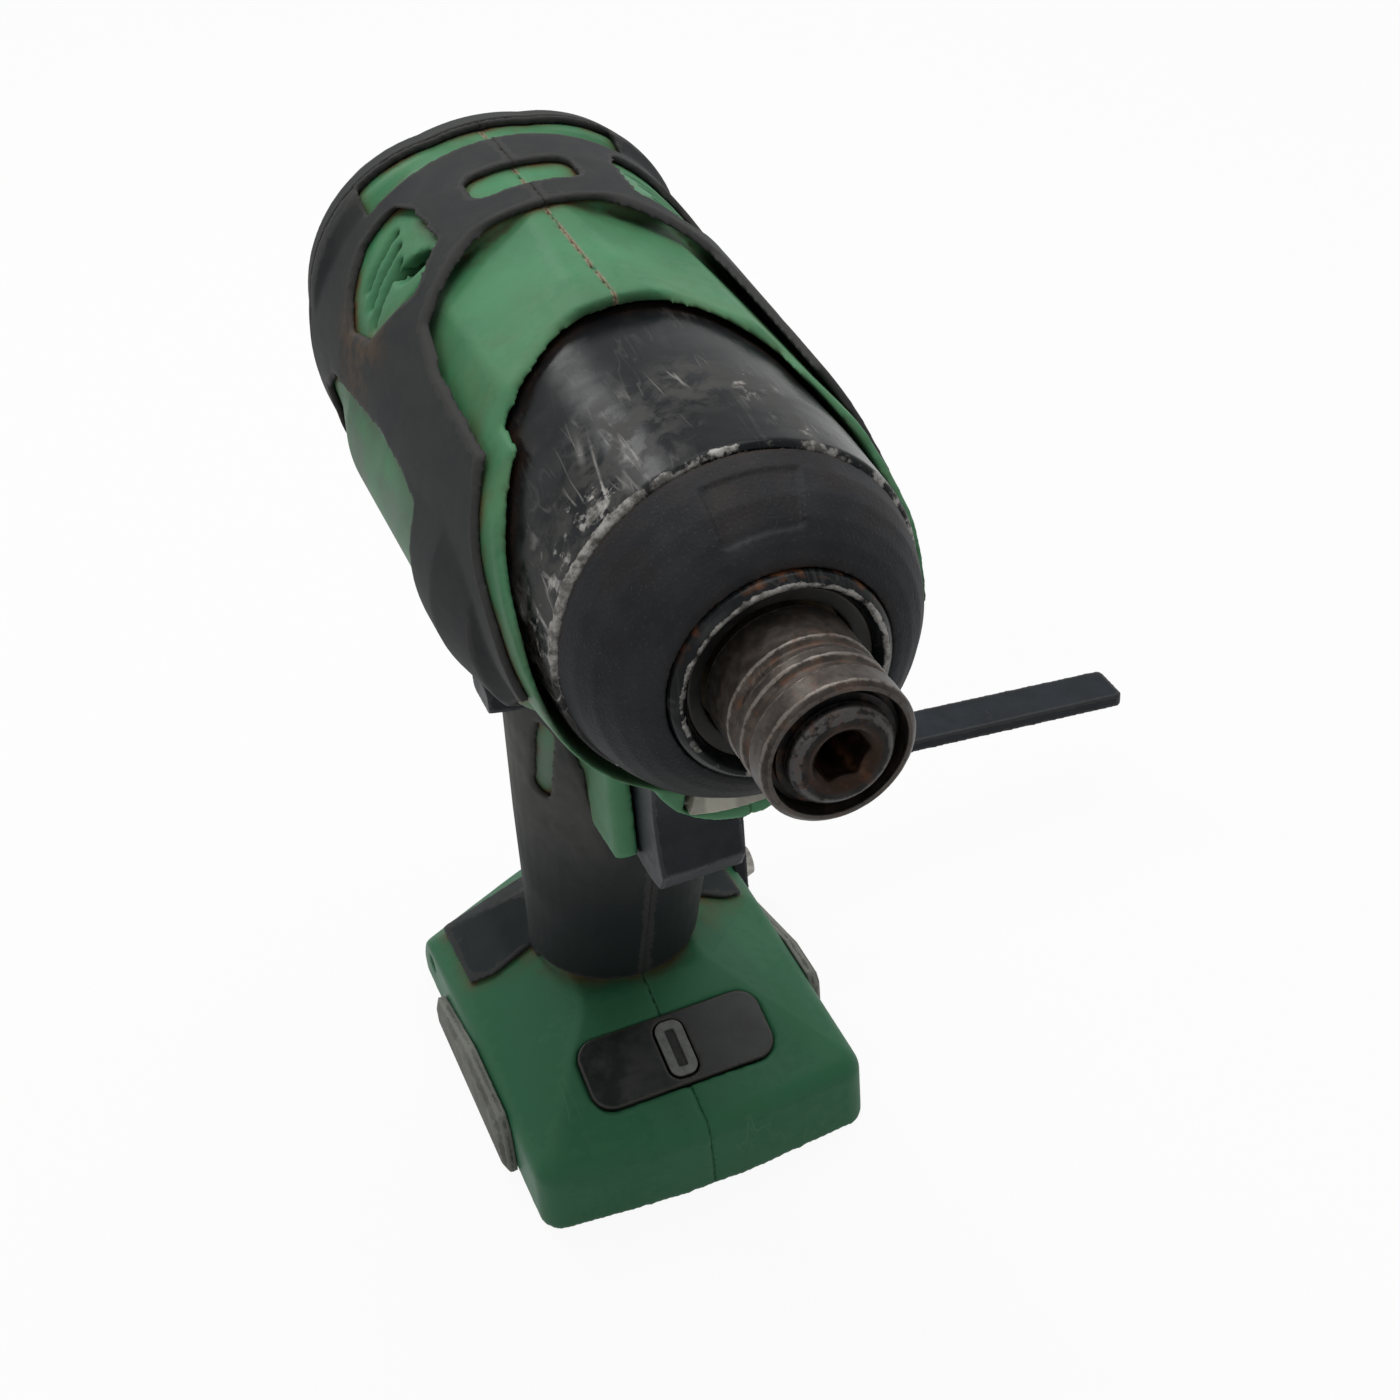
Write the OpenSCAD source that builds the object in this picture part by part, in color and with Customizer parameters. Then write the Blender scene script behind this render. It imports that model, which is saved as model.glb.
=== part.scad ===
// Cordless impact driver without its battery, standing on its foot.
// The nose points along -Y, +Z is up, and the origin is the middle of the foot's underside.
// Head stations are distances behind the front of the bit sleeve.

/* [Layout] */
// Height of the drive axis above the underside of the foot
axis_h = 146.5; // [144:0.5:150]
// Distance from the front of the bit sleeve back to the middle of the foot
nose_reach = 103; // [102:0.2:104]
// Gap between fixed pieces that fit together
fit_gap = 0.1; // [0.05:0.01:0.15]
// Radial running fit of shafts in their bores
run_fit = 0.06; // [0.03:0.01:0.1]

/* [Bit sleeve and anvil] */
// Outer diameter of the bit sleeve
sleeve_d = 20.5; // [20:0.1:21]
// Length of the bit sleeve
sleeve_len = 18; // [17.5:0.1:18.5]
// Diameter of the anvil shank
anvil_d = 14; // [13.8:0.1:14.2]
// How far the anvil stands out of the sleeve
anvil_tip = 1; // [0.5:0.1:1.5]
// Width across flats of the hexagonal bit socket
hex_af = 6.5; // [6.4:0.05:6.6]
// Depth of the bit socket
hex_depth = 26; // [23:0.5:28]
// Diameter of the detent balls
ball_d = 3.3; // [3.1:0.1:3.4]
// Wire diameter of the sleeve spring
sleeve_wire = 0.7; // [0.6:0.05:0.8]
// Length of the anvil bushing
bushing_len = 15.8; // [15:0.1:16.5]
// Outer diameter of the anvil bushing
bushing_d = 20.4; // [19.5:0.1:21]
// Axial length of the anvil wings
wing_len = 7; // [6.5:0.1:7.5]
// Width of an anvil wing
wing_w = 11; // [10:0.5:12]

/* [Hammer and spindle] */
// Outer diameter of the hammer
hammer_d = 40.6; // [40:0.1:41]
// Length of the hammer body without its lugs
hammer_len = 19; // [18.5:0.1:19.5]
// Rearward travel of the hammer
hammer_travel = 8; // [7.5:0.1:8.2]
// Diameter of the spindle
spindle_d = 16; // [15.6:0.1:16.2]
// Wire diameter of the hammer spring
hammer_wire = 2.6; // [2.2:0.1:2.8]
// Diameter of the cam balls
cam_ball_d = 4.4; // [4:0.1:4.6]
// Gear module
gear_m = 0.8; // [0.79:0.005:0.81]
// Teeth of the motor pinion
sun_n = 10; // [10:1:10]
// Teeth of a planet gear
planet_n = 20; // [20:1:20]
// Face width of the planet gears
gear_w = 7.5; // [7:0.1:8]
// Diameter of a planet pin
pin_d = 4; // [3.8:0.1:4.4]

/* [Motor] */
// Diameter of the motor shaft
shaft_d = 5; // [4.8:0.1:5.2]
// Outer diameter of the rotor core
rotor_d = 22.2; // [21.6:0.2:22.4]
// Outer diameter of the stator
stator_d = 49; // [48:0.5:50]
// Length of the stator stack
stack_len = 16.5; // [16:0.5:17.5]
// Diameter of the cooling fan
fan_d = 43; // [42:0.5:45]
// Number of fan blades
fan_n = 11; // [7:1:13]

/* [Casings] */
// Outer diameter of the hammer case behind its front edge
case_d = 52.8; // [52:0.2:53]
// Outer diameter of the nose ring of the hammer case
ring_d = 30.6; // [30:0.2:31]
// Diameter of the front bumper at its rear edge
bumper_d = 50; // [49.4:0.2:50.4]
// Diameter of the housing over the hammer case
head_d = 57.8; // [57.4:0.2:58.4]
// Diameter of the housing over the motor
motor_d = 61.2; // [60.8:0.2:62]
// Wall of the housing
wall = 2.4; // [2.1:0.1:2.7]
// Thickness of the soft overmould
soft_t = 1.25; // [1:0.05:1.5]
// Width of the grip under the overmould
grip_w = 33.4; // [32:0.2:35]
// Depth of the grip under the overmould
grip_d = 41.5; // [40:0.5:42.5]
// Rearward lean of the grip in degrees
grip_lean = 21; // [20:0.5:22]

/* [Foot] */
// Width of the foot
foot_w = 63; // [61:0.5:65]
// Depth of the foot
foot_d = 80.4; // [79:0.2:82]
// Height of the foot at its front
foot_h = 16.2; // [15.8:0.1:17]
// Width of the battery channel
bay_w = 44; // [42:0.5:46]
// Height of the battery channel
bay_h = 8; // [7.5:0.5:8.5]
// Height of the rail lips beside the channel
lip_h = 2.5; // [2:0.1:3]
// Length of the control panel
panel_l = 35; // [33:0.5:37]
// Width of the control panel
panel_w = 14; // [13.4:0.2:15]
// Thickness of the side plates
plate_t = 2.6; // [2.2:0.1:3]

/* [Controls] */
// Width of the trigger
trigger_w = 14; // [13:0.2:15]
// Travel of the trigger
trigger_travel = 6; // [5:0.2:6.2]
// Sideways travel of the direction lever each way
lever_travel = 2.5; // [2:0.1:2.8]
// Press travel of the mode button
button_travel = 0.8; // [0.5:0.1:0.9]

/* [Belt hook and screws] */
// Thickness of the hook strip
hook_t = 3; // [2.6:0.1:3.2]
// Width of the hook strip
hook_w = 10; // [9:0.2:10.4]
// Reach of the free leg from the foot's side
hook_reach = 90; // [84:1:94]
// Thread diameter of the hook screw
hook_screw_d = 4; // [4:0.1:4.4]
// Thread diameter of the housing screws
screw_d = 2.8; // [2.6:0.1:3]
// Head diameter of the housing screws
screw_head_d = 5.4; // [5:0.1:5.6]

/* [Hidden] */
$fn = 64;
hull_fn = 40;

// Stations behind the sleeve front, each one resting on the one before it
ring_z = sleeve_len - 2.2;
bush_z0 = sleeve_len + 3;
bush_z1 = bush_z0 + bushing_len;
flange_z = bush_z1 + 0.3;
wing_z = flange_z + 2;
wing_z1 = wing_z + wing_len;
hammer_z = wing_z1 + 0.6;
hammer_z1 = hammer_z + hammer_len;
pocket_z = hammer_z + 8;
washer_z = hammer_z1 + hammer_travel + 1;
washer_t = 1.5;
plate_z = washer_z + washer_t;
plate_len = 3;
planet_z = plate_z + plate_len + 0.4;
planet_z1 = planet_z + gear_w;
tail_z = planet_z1 + 0.4;
tail_z1 = tail_z + 2.5;
bearing_z = tail_z1 + 0.9;
bearing_len = 5;
boss_z = bearing_z + bearing_len + 1.5;
motor_bearing_len = 4;
boss_z1 = boss_z + motor_bearing_len;
coil_z = boss_z1 + 0.7;
coil_over = 3.5;
stack_z = coil_z + coil_over;
stack_z1 = stack_z + stack_len;
coil_z1 = stack_z1 + coil_over;
fan_z = coil_z1 + 0.8;
fan_len = 3.8;
rear_bearing_z = fan_z + fan_len + 0.7;
rear_bearing_z1 = rear_bearing_z + motor_bearing_len;
cap_z = fan_z + 2.4;
cap_z1 = rear_bearing_z1 + 4;
step_z = ring_z + 15;
case_z1 = plate_z + 0.9;

// Radii on the axis
anvil_r = anvil_d / 2;
land_r = anvil_r + run_fit;
chamber_r = anvil_r + 1.9;
hex_r = hex_af / 2 / cos(30);
bushing_r = bushing_d / 2;
ring_r = ring_d / 2;
recess_r = ring_r - 2.6;
case_r = case_d / 2;
bore_r = hammer_d / 2 + 1.4;
wing_r = hammer_d / 2 - 1.8;
spindle_r = spindle_d / 2;
pilot_r = 4;
pocket_in = spindle_r + 3.8;
pocket_out = hammer_d / 2 - 2.9;
gear_clear = 0.2;
sun_r = gear_m * sun_n / 2;
planet_r = gear_m * planet_n / 2;
ring_n = sun_n + 2 * planet_n;
centre_r = sun_r + planet_r;
ring_gear_r = gear_m * ring_n / 2 + 2.5;
case_screw_r = case_r - 2.2;
cover_r = case_r - 0.1;
hub_r = 8.5;
bearing_r = hub_r + 5;
shaft_r = shaft_d / 2;
motor_bearing_r = shaft_r + 4;
stator_r = stator_d / 2;
bore_stator_r = rotor_d / 2 + 0.5;
tooth_w = 5;
head_in = case_r + 0.2;
motor_in = motor_d / 2 - wall - 0.9;
head_r = head_d / 2;
motor_r = motor_d / 2;

// Bit retention
ball_z = 10;
washer_front = 2.3;
washer_len = 0.8;
land_z = ball_z - 1.6;
land_z1 = ball_z + 1.8;

// Flanks of the head
flank_r = 20;
flank_x = 12.3;
flank_drop = 6;

// Shoulders at the rear end of the head
shoulder_x = 6;
shoulder_rise = 6;
shoulder_z = cap_z - 15;
rear_r = motor_r - 7.1;

// Grip rows: height from the axis, share of the width and share of the depth
grip_front_y = 60.5;
grip_end = 22.5 - axis_h;
grip_mid = -50 + (grip_end + 50) * 16 / 37;
grip_rows = [[-26, 1.02, 1], [-50, 1.06, 0.89], [grip_mid, 0.99, 0.79], [grip_end, 0.87, 0.645]];
row_t = 1.2;

// Foot
foot_y0 = nose_reach - foot_d / 2;
foot_y1 = nose_reach + foot_d / 2;
corner_r = 4.5;
shoulder_r = 4;
roof_h = 25.5;
roof_front = foot_y0 + 29.5;
roof_w = 24;
boss_r = 4.6;
panel_dy = roof_front - foot_y0 - corner_r;
panel_dz = roof_h - foot_h + corner_r;
panel_tilt = atan2(panel_dz, panel_dy) - asin(corner_r / norm([panel_dy, panel_dz]));
panel_y = foot_y0 + 15.6;
panel_z = foot_h - corner_r + corner_r / cos(panel_tilt)
    + (panel_y - foot_y0 - corner_r) * tan(panel_tilt);
floor_h = bay_h + 1.5;
plate_y0 = foot_y0 + 18.4;
plate_y0_left = foot_y0 + 27;
front_bow = 2;
hook_y = foot_y1 - 11;
plate_y1 = hook_y - hook_w / 2 - 3.4;
hook_z = 8;
bend_z = 34;
hook_drop = 10;
hook_tilt = atan(hook_drop / hook_reach);

// Controls
trigger_y = 53;
trigger_top = -36.5;
trigger_end = -66;
switch_back = 97;
switch_top = -43.5;
switch_end = -62.5;
lever_z = -36.8;
lever_h = 5;
lever_d = 9;
plunger_z = -54;
button_w = 5.2;
button_l = 11;

// Rear edge of the trigger at a height, leaning with the grip and set into it
function trigger_rear(z) = grip_front_y + 5 + (grip_rows[0][0] - z) * tan(grip_lean) * 0.72;
switch_gap = trigger_travel + 0.25;
lever_y = trigger_rear(lever_z - lever_h / 2) + trigger_travel + 0.6 + lever_d / 2;
recess_y = trigger_rear(plunger_z) + switch_gap + 8;

// Chin under the bumper that holds the light
block_w = trigger_w + 7.2;
chin_r = 14.5;
chin_drop = 19.7;
chin_y1 = 58;
lens_r0 = head_in + 0.5;
lens_r1 = lens_r0 + 4.2;
lens_half = 17;

// Housing screws: distance behind the sleeve front and height from the axis
screw_spots = [[45, -31.3], [92.4, -36.3], [95, grip_mid + 3], [foot_y1 - 16, floor_h + 5.2 - axis_h]];

// Places the drive axis: local z runs rearwards, local y runs down
module on_axis() {
    translate([0, -nose_reach, axis_h]) rotate([-90, 0, 0]) children();
}

// Extrudes a side view of points [distance behind the sleeve front, height from the axis]
module side(half_w, x = 0) {
    translate([x, -nose_reach, axis_h]) rotate([90, 0, 90])
        linear_extrude(2 * half_w, center = true) children();
}

// Ring from radius a to radius b over a length
module tube(a, b, z0, z1) {
    translate([0, 0, z0]) difference() {
        cylinder(r = b, h = z1 - z0);
        translate([0, 0, -1]) cylinder(r = a, h = z1 - z0 + 2);
    }
}

// Keeps the tool's left side (+X) or right side (-X), a little clear of the parting plane
module half(dir) {
    intersection() {
        children();
        translate([dir > 0 ? 0.02 : -150.02, -200, -50]) cube([150, 400, 300]);
    }
}

// Involute helpers in degrees
function inv(t) = t * 180 / PI - atan(t);
function inv_at(r, rb) = r > rb ? inv(sqrt(r * r / (rb * rb) - 1)) : 0;
function tooth_half(r, n, slack) =
    90 / n - slack / (gear_m * n / 2) * 90 / PI + inv_at(gear_m * n / 2, gear_m * n / 2 * cos(20))
    - inv_at(r, gear_m * n / 2 * cos(20));

// Gear outline with a tooth on the x axis, thinned by slack along the pitch circle
module gear_outline(n, tip, root, slack) {
    rp = gear_m * n / 2;
    radii = [rp - root, rp - root * 0.45, rp, rp + tip * 0.55, rp + tip];
    polygon([for (k = [0 : n - 1]) each concat(
        [for (r = radii) let (a = k * 360 / n - tooth_half(r, n, slack)) [r * cos(a), r * sin(a)]],
        [for (i = [4 : -1 : 0]) let (r = radii[i], a = k * 360 / n + tooth_half(r, n, slack))
            [r * cos(a), r * sin(a)]])]);
}

// Points of one ring of a coil's wire, square enough to its run for a fine pitch
function coil_ring(r, wire, a, z, sides) =
    [for (j = [0 : sides - 1]) let (b = 360 * j / sides, q = r + wire / 2 * cos(b))
        [q * cos(a), q * sin(a), z + wire / 2 * sin(b)]];

// Open coil spring between two stations
module coil(r, wire, turns, z0, z1) {
    sides = 6;
    steps = turns * 14;
    rings = [for (i = [0 : steps])
        coil_ring(r, wire, 360 * turns * i / steps, z0 + wire / 2 + (z1 - z0 - wire) * i / steps, sides)];
    points = [for (ring = rings) each ring];
    walls = [for (i = [0 : steps - 1], j = [0 : sides - 1]) let (k = (j + 1) % sides)
        each [[i * sides + j, i * sides + k, (i + 1) * sides + j],
            [i * sides + k, (i + 1) * sides + k, (i + 1) * sides + j]]];
    first = [for (j = [1 : sides - 2]) [0, j + 1, j]];
    last = [for (j = [1 : sides - 2]) [steps * sides, steps * sides + j, steps * sides + j + 1]];
    polyhedron(points, concat(walls, first, last), convexity = 8);
}

// Outer form of the head, grown by off
module head_form(off) {
    on_axis() {
        rotate_extrude() polygon([[0, step_z + 0.4], [head_r - 1 + off, step_z + 0.4],
            [head_r - 0.2 + off, step_z + 8], [head_r + off, step_z + 24],
            [head_r + 0.5 + off, step_z + 38], [motor_r - 0.5 + off, step_z + 60],
            [motor_r + off, step_z + 80], [motor_r - 0.2 + off, cap_z - 0.1], [0, cap_z - 0.1]]);
        for (s = [-1, 1]) translate([s * flank_x, flank_drop, 0]) rotate_extrude() polygon([
            [0, step_z + 12], [flank_r - 8 + off, step_z + 12], [flank_r - 2 + off, step_z + 19],
            [flank_r + off, step_z + 30], [flank_r + off, cap_z - 20], [flank_r - 3 + off, cap_z - 5],
            [0, cap_z - 5]]);
        for (s = [-1, 1]) translate([s * shoulder_x, -shoulder_rise, 0]) rotate_extrude()
            polygon([[0, shoulder_z], [rear_r - 6 + off, shoulder_z], [rear_r + off, cap_z - 3],
            [rear_r + off, cap_z - 0.1], [0, cap_z - 0.1]]);
    }
}

// Grip as a hull of egg-shaped rows, narrower at the front
module grip_form(off) {
    hull() for (row = grip_rows) {
        front = grip_front_y + (grip_rows[0][0] - row[0]) * tan(grip_lean) - nose_reach;
        r0 = grip_w * row[1] * 0.39;
        r1 = grip_w / 2 * row[1];
        translate([0, front + r0, row[0] + axis_h])
            cylinder(r = r0 + off, h = row_t, $fn = hull_fn);
        translate([0, front + grip_d * row[2] - r1, row[0] + axis_h])
            cylinder(r = r1 + off, h = row_t, $fn = hull_fn);
    }
}

// Rounded block of the foot with its sloped top and its roof around the grip
module foot_form(off) {
    cx = foot_w / 2 - corner_r;
    sx = foot_w / 2 - shoulder_r;
    hull() {
        translate([-foot_w / 2 - off, hook_y - nose_reach, hook_z]) rotate([0, 90, 0])
            cylinder(r = boss_r + off, h = foot_w + 2 * off, $fn = 32);
        for (s = [-1, 1]) {
            translate([s * cx, foot_y1 - corner_r - nose_reach, 0]) cylinder(r = corner_r + off,
                h = 4, $fn = 32);
            for (k = [0.25, 1])
                translate([s * cx * k, foot_y0 + corner_r + front_bow * k * k - nose_reach, 0]) {
                cylinder(r = corner_r + off, h = 4, $fn = 32);
                translate([0, 0, foot_h - corner_r]) sphere(r = corner_r + off, $fn = 32);
            }
            translate([s * sx, foot_y0 + 51 - nose_reach, foot_h - shoulder_r])
                sphere(r = shoulder_r + off, $fn = 24);
        }
        translate([-roof_w / 2 - off, roof_front - off - nose_reach, roof_h - 4])
            cube([roof_w + 2 * off, 31 + 2 * off, 4 + off]);
        translate([-8 - off, foot_y1 - 6 - nose_reach, foot_h]) cube([16 + 2 * off, 4 + off, 1]);
    }
}

// Block of the shell around the trigger
module trigger_block(off) {
    intersection() {
        translate([0, trigger_y + 19.4 - nose_reach, axis_h - 80]) linear_extrude(60)
            offset(4 + off) square([block_w - 8, 12], center = true);
        side(30) offset(1.5 + off) offset(-1.5) polygon([[trigger_y + 9.4, -20],
            [trigger_y + 9.4, trigger_end + 3], [trigger_y + 12.5, trigger_end + 0.4],
            [trigger_y + 24, trigger_end - 0.4], [trigger_y + 24, -20]]);
    }
}

// Chin below the hammer case
module chin_form(off) {
    on_axis() translate([0, chin_drop, step_z + 0.7])
        cylinder(r = chin_r + off, h = chin_y1 - step_z - 0.7 + off);
}

// Space that shows the hammer case, as a side view
module nose_window() {
    side(60) polygon([for (p = [[-9, -6], [0.4, -6], [6, 2.7], [14.1, 9.6], [23.6, 19.2], [29.1, 19.3],
        [33.4, 23.4], [38, 27], [37, 40], [-9, 40]]) [p[0] + step_z, p[1]]]);
}

// Flat facets of the green top, cut from the round head
module top_facets() {
    facet = head_r - 0.7;
    on_axis() for (a = [-52, -26, 26, 52]) rotate(a) translate([-20, -facet - 20, step_z - 1])
        cube([40, 20, 68]);
}

// Inside of both housing halves
module housing_space() {
    on_axis() {
        cylinder(r = head_in, h = boss_z + 1);
        cylinder(r = motor_in, h = 200);
    }
}

module stator_ribs() {
    on_axis() for (z = [stack_z + 1.5, stack_z1 - 3.5]) tube(stator_r + 0.05, motor_in + 0.6, z, z + 2);
}

module screw_bosses() {
    for (p = screw_spots) translate([-35, p[0] - nose_reach, p[1] + axis_h]) rotate([0, 90, 0])
        cylinder(r = screw_head_d / 2 + 1.1, h = 70);
}

module screw_holes() {
    for (p = screw_spots) translate([0, p[0] - nose_reach, p[1] + axis_h]) rotate([0, 90, 0]) {
        translate([0, 0, 7]) cylinder(r = screw_head_d / 2 + 0.2, h = 60);
        translate([0, 0, -8.5]) cylinder(r = screw_d / 2 + 0.05, h = 16.5);
    }
}

// Bosses and threaded holes for the belt hook on both sides of the foot
module hook_bosses() {
    translate([-foot_w / 2, hook_y - nose_reach, hook_z]) rotate([0, 90, 0])
        cylinder(r = boss_r - 0.7, h = foot_w);
}

module hook_holes() {
    for (s = [-1, 1]) translate([s * foot_w / 2, hook_y - nose_reach, hook_z]) rotate([0, -s * 90, 0])
        translate([0, 0, -1]) cylinder(r = hook_screw_d / 2 - 0.3, h = 9);
}

// Battery channel with its rail lips, open to the rear and below
module battery_bay() {
    y0 = foot_y0 + 8 - nose_reach;
    translate([-bay_w / 2, y0, lip_h]) cube([bay_w, foot_d, bay_h - lip_h]);
    translate([-bay_w / 2 + 2.5, y0, -1]) cube([bay_w - 5, foot_d, bay_h]);
}

// Openings for the trigger, the direction lever, the panel and the light
module control_cuts() {
    side(trigger_w / 2 + 0.4) polygon([[40, trigger_end - 0.6], [trigger_rear(trigger_end) + 7,
        trigger_end - 0.6],
        [trigger_rear(trigger_top) + 7, trigger_top + 0.6], [40, trigger_top + 0.6]]);
    side(40) translate([lever_y, lever_z]) square([lever_d + 3, lever_h + 0.8], center = true);
    panel_place(-1.8) linear_extrude(20) panel_outline(0.15);
    panel_place(-12) linear_extrude(13) square([panel_l - 6, panel_w - 2.4], center = true);
    on_axis() rotate(90 - lens_half - 1.5) rotate_extrude(angle = 2 * lens_half + 3)
        translate([lens_r0 - 0.2, step_z - 1]) square([lens_r1 - lens_r0 + 0.4, 8]);
}

// Slits in the vent of each flank
module vent_slits() {
    for (i = [0 : 2]) side(60) translate([105 + 3.4 * i, 18.7 + 0.9 * i]) rotate(66)
        square([9.6 - 0.6 * i, 1.3], center = true);
    side(60) translate([103, 22.9]) rotate(135) scale([1.6, 1]) circle(r = 1.75);
}

module vent_outline() {
    offset(1.2) offset(-1.2) polygon([[108.5, 12.6], [113.6, 16.4], [117, 21], [117.6, 26], [112, 27.4],
        [101, 27.3], [95.2, 23.2], [100.5, 14.6]]);
}

module housing(dir) {
    color([0.10, 0.36, 0.20]) half(dir) difference() {
        union() {
            difference() {
                union() {
                    difference() {
                        head_form(0);
                        top_facets();
                    }
                    grip_form(0);
                    foot_form(0);
                    chin_form(0);
                    trigger_block(0);
                }
                housing_space();
                difference() {
                    grip_form(-wall);
                    translate([-50, -100, -1]) cube([100, 200, floor_h + 1]);
                }
                intersection() {
                    foot_form(-wall);
                    translate([-50, -100, floor_h]) cube([100, 200, 100]);
                }
            }
            intersection() {
                screw_bosses();
                union() {
                    grip_form(-0.5);
                    foot_form(-0.5);
                    chin_form(-0.5);
                }
            }
            stator_ribs();
            intersection() {
                hook_bosses();
                translate([-foot_w / 2, -100, 0]) cube([foot_w, 200, floor_h + 6]);
            }
        }
        on_axis() cylinder(r = head_in, h = boss_z + 1);
        nose_window();
        screw_holes();
        hook_holes();
        battery_bay();
        control_cuts();
        vent_cut(dir);
    }
}

module vent_cut(dir) {
    intersection() {
        vent_slits();
        translate([dir > 0 ? 8 : -68, -200, 0]) cube([60, 400, 300]);
    }
}

// Side view of all that the overmould covers: head, grip and the shoulder over the foot
module soft_region() {
    side(60) {
        polygon([[step_z + 5.4, -7], [step_z + 11, 0.8], [step_z + 19, 7.6], [step_z + 26.5, 17.4],
            [79, 19.3], [88, 21.5], [93, 26], [97, 29.3], [97.5, 40], [cap_z - 0.2, 40],
            [cap_z - 0.2, -42], [64, -34], [58, -25], [step_z + 14, -13]]);
        polygon([[73, -29], [150, -29], [150, grip_end + 4.5], [60, grip_end + 3], [60, -67.5], [71, -67],
            [76.5, -64], [75.5, -50]]);
        polygon([[105, grip_end + 8], [foot_y1, grip_end + 8], [foot_y1, grip_end - 5.5],
            [118, grip_end - 10], [108, grip_end + 2]]);
    }
}

// Windows in the overmould that show the green shell
module soft_windows(dir) {
    side(30, dir * 38) vent_outline();
    side(30, dir * 38) offset(2) offset(-2) polygon([[69, -12], [72, 3.5], [90, 6], [114, 3.5],
        [122, -3], [121, -17], [104, -23], [78, -21]]);
    on_axis() intersection() {
        translate([0, 0, 121.6]) cylinder(r = 50, h = 6);
        translate([-20.5, -50, 0]) cube([41, 28, 200]);
    }
    translate([0, 107.6 - nose_reach, axis_h]) linear_extrude(40) offset(2) square([12.4, 3.4],
        center = true);
    side(30, dir * 38) translate([81.5, -54.8]) rotate(grip_lean - 90) offset(1.6)
        square([17, 0.4], center = true);
}

module overmould(dir) {
    color([0.11, 0.12, 0.125]) half(dir) difference() {
        intersection() {
            union() {
                head_form(soft_t);
                grip_form(soft_t);
                intersection() {
                    foot_form(soft_t - 0.3);
                    translate([-28, 112 - nose_reach, 0]) cube([56, 22, 60]);
                }
            }
            soft_region();
        }
        head_form(0.04);
        grip_form(0.04);
        foot_form(0.04);
        chin_form(0.04);
        trigger_block(0.04);
        on_axis() cylinder(r = head_in + 1, h = cap_z);
        soft_windows(dir);
        control_cuts();
        screw_holes();
    }
}

module housing_left() { housing(1); }
module housing_right() { housing(-1); }
module overmould_left() { overmould(1); }
module overmould_right() { overmould(-1); }

// Cap behind the motor with its outlet slots and bearing seat
module rear_cap() {
    color([0.11, 0.12, 0.125]) on_axis() difference() {
        union() {
            rotate_extrude() polygon([[0, cap_z], [motor_r + soft_t - 0.2, cap_z],
                [motor_r, cap_z1 - 5.2], [motor_r - 2.6, cap_z1 - 2], [motor_r - 7.5, cap_z1 - 0.3],
                [motor_r - 12, cap_z1], [0, cap_z1]]);
            for (s = [-1, 1]) translate([s * shoulder_x, -shoulder_rise, 0]) rotate_extrude() polygon([
                [0, cap_z], [rear_r + soft_t - 0.1, cap_z], [rear_r + 0.6, cap_z1 - 6.4],
                    [rear_r - 2.4, cap_z1 - 2.8],
                [rear_r - 8, cap_z1 - 0.6], [0, cap_z1 - 0.5]]);
        }
        rotate_extrude() polygon([[motor_bearing_r + 2.2, cap_z - 1], [motor_in, cap_z - 1],
            [motor_in, cap_z1 - 6.4], [motor_in - 3, cap_z1 - 3.4], [motor_bearing_r + 4, cap_z1 - 2.6],
            [motor_bearing_r + 2.2, cap_z1 - 2.6]]);
        translate([0, 0, cap_z - 1]) cylinder(r = motor_bearing_r + fit_gap,
            h = rear_bearing_z1 + fit_gap - cap_z + 1);
        translate([0, 0, cap_z - 1]) cylinder(r = motor_bearing_r + 3,
            h = rear_bearing_z - 0.2 - cap_z + 1);
        for (a = [-50 : 20 : 50], s = [0, 180]) rotate(a + s) translate([13, -1.1, cap_z1 - 5])
            cube([8.5, 2.2, 10]);
        for (s = [-1, 1]) translate([0, s * (motor_in - 3.4), cap_z1 - 8])
            cylinder(r = screw_d / 2 + 0.1, h = 20);
        for (s = [-1, 1]) translate([0, s * (motor_in - 3.4), cap_z1 - 1.6])
            cylinder(r = screw_head_d / 2 + 0.1, h = 20);
    }
}

// Metal case around the hammer, with the nose ring in front
module hammer_case() {
    color([0.09, 0.09, 0.10]) on_axis() difference() {
        rotate_extrude() polygon([[recess_r + 0.7, ring_z], [ring_r - 0.6, ring_z],
            [ring_r, ring_z + 0.6], [ring_r, ring_z + 4.6], [ring_r + 4.9, ring_z + 6.8],
            [ring_r + 7.4, ring_z + 10.4], [ring_r + 7.8, step_z], [case_r - 1.1, step_z],
            [case_r - 0.6, step_z + 0.5], [case_r, step_z + 13], [case_r, case_z1],
            [bore_r + 1.2, case_z1], [bore_r, case_z1 - 1], [bore_r, bush_z1 + 1.6],
            [bore_r - 1.5, bush_z1 + 0.05], [bushing_r + fit_gap / 2, bush_z1 + 0.05],
            [bushing_r + fit_gap / 2, bush_z0], [recess_r, bush_z0], [recess_r, ring_z + 0.7]]);
        for (a = [45 : 90 : 315]) rotate(a) translate([case_screw_r, 0, case_z1 - 6])
            cylinder(r = screw_d / 2 - 0.2, h = 10);
    }
}

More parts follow.
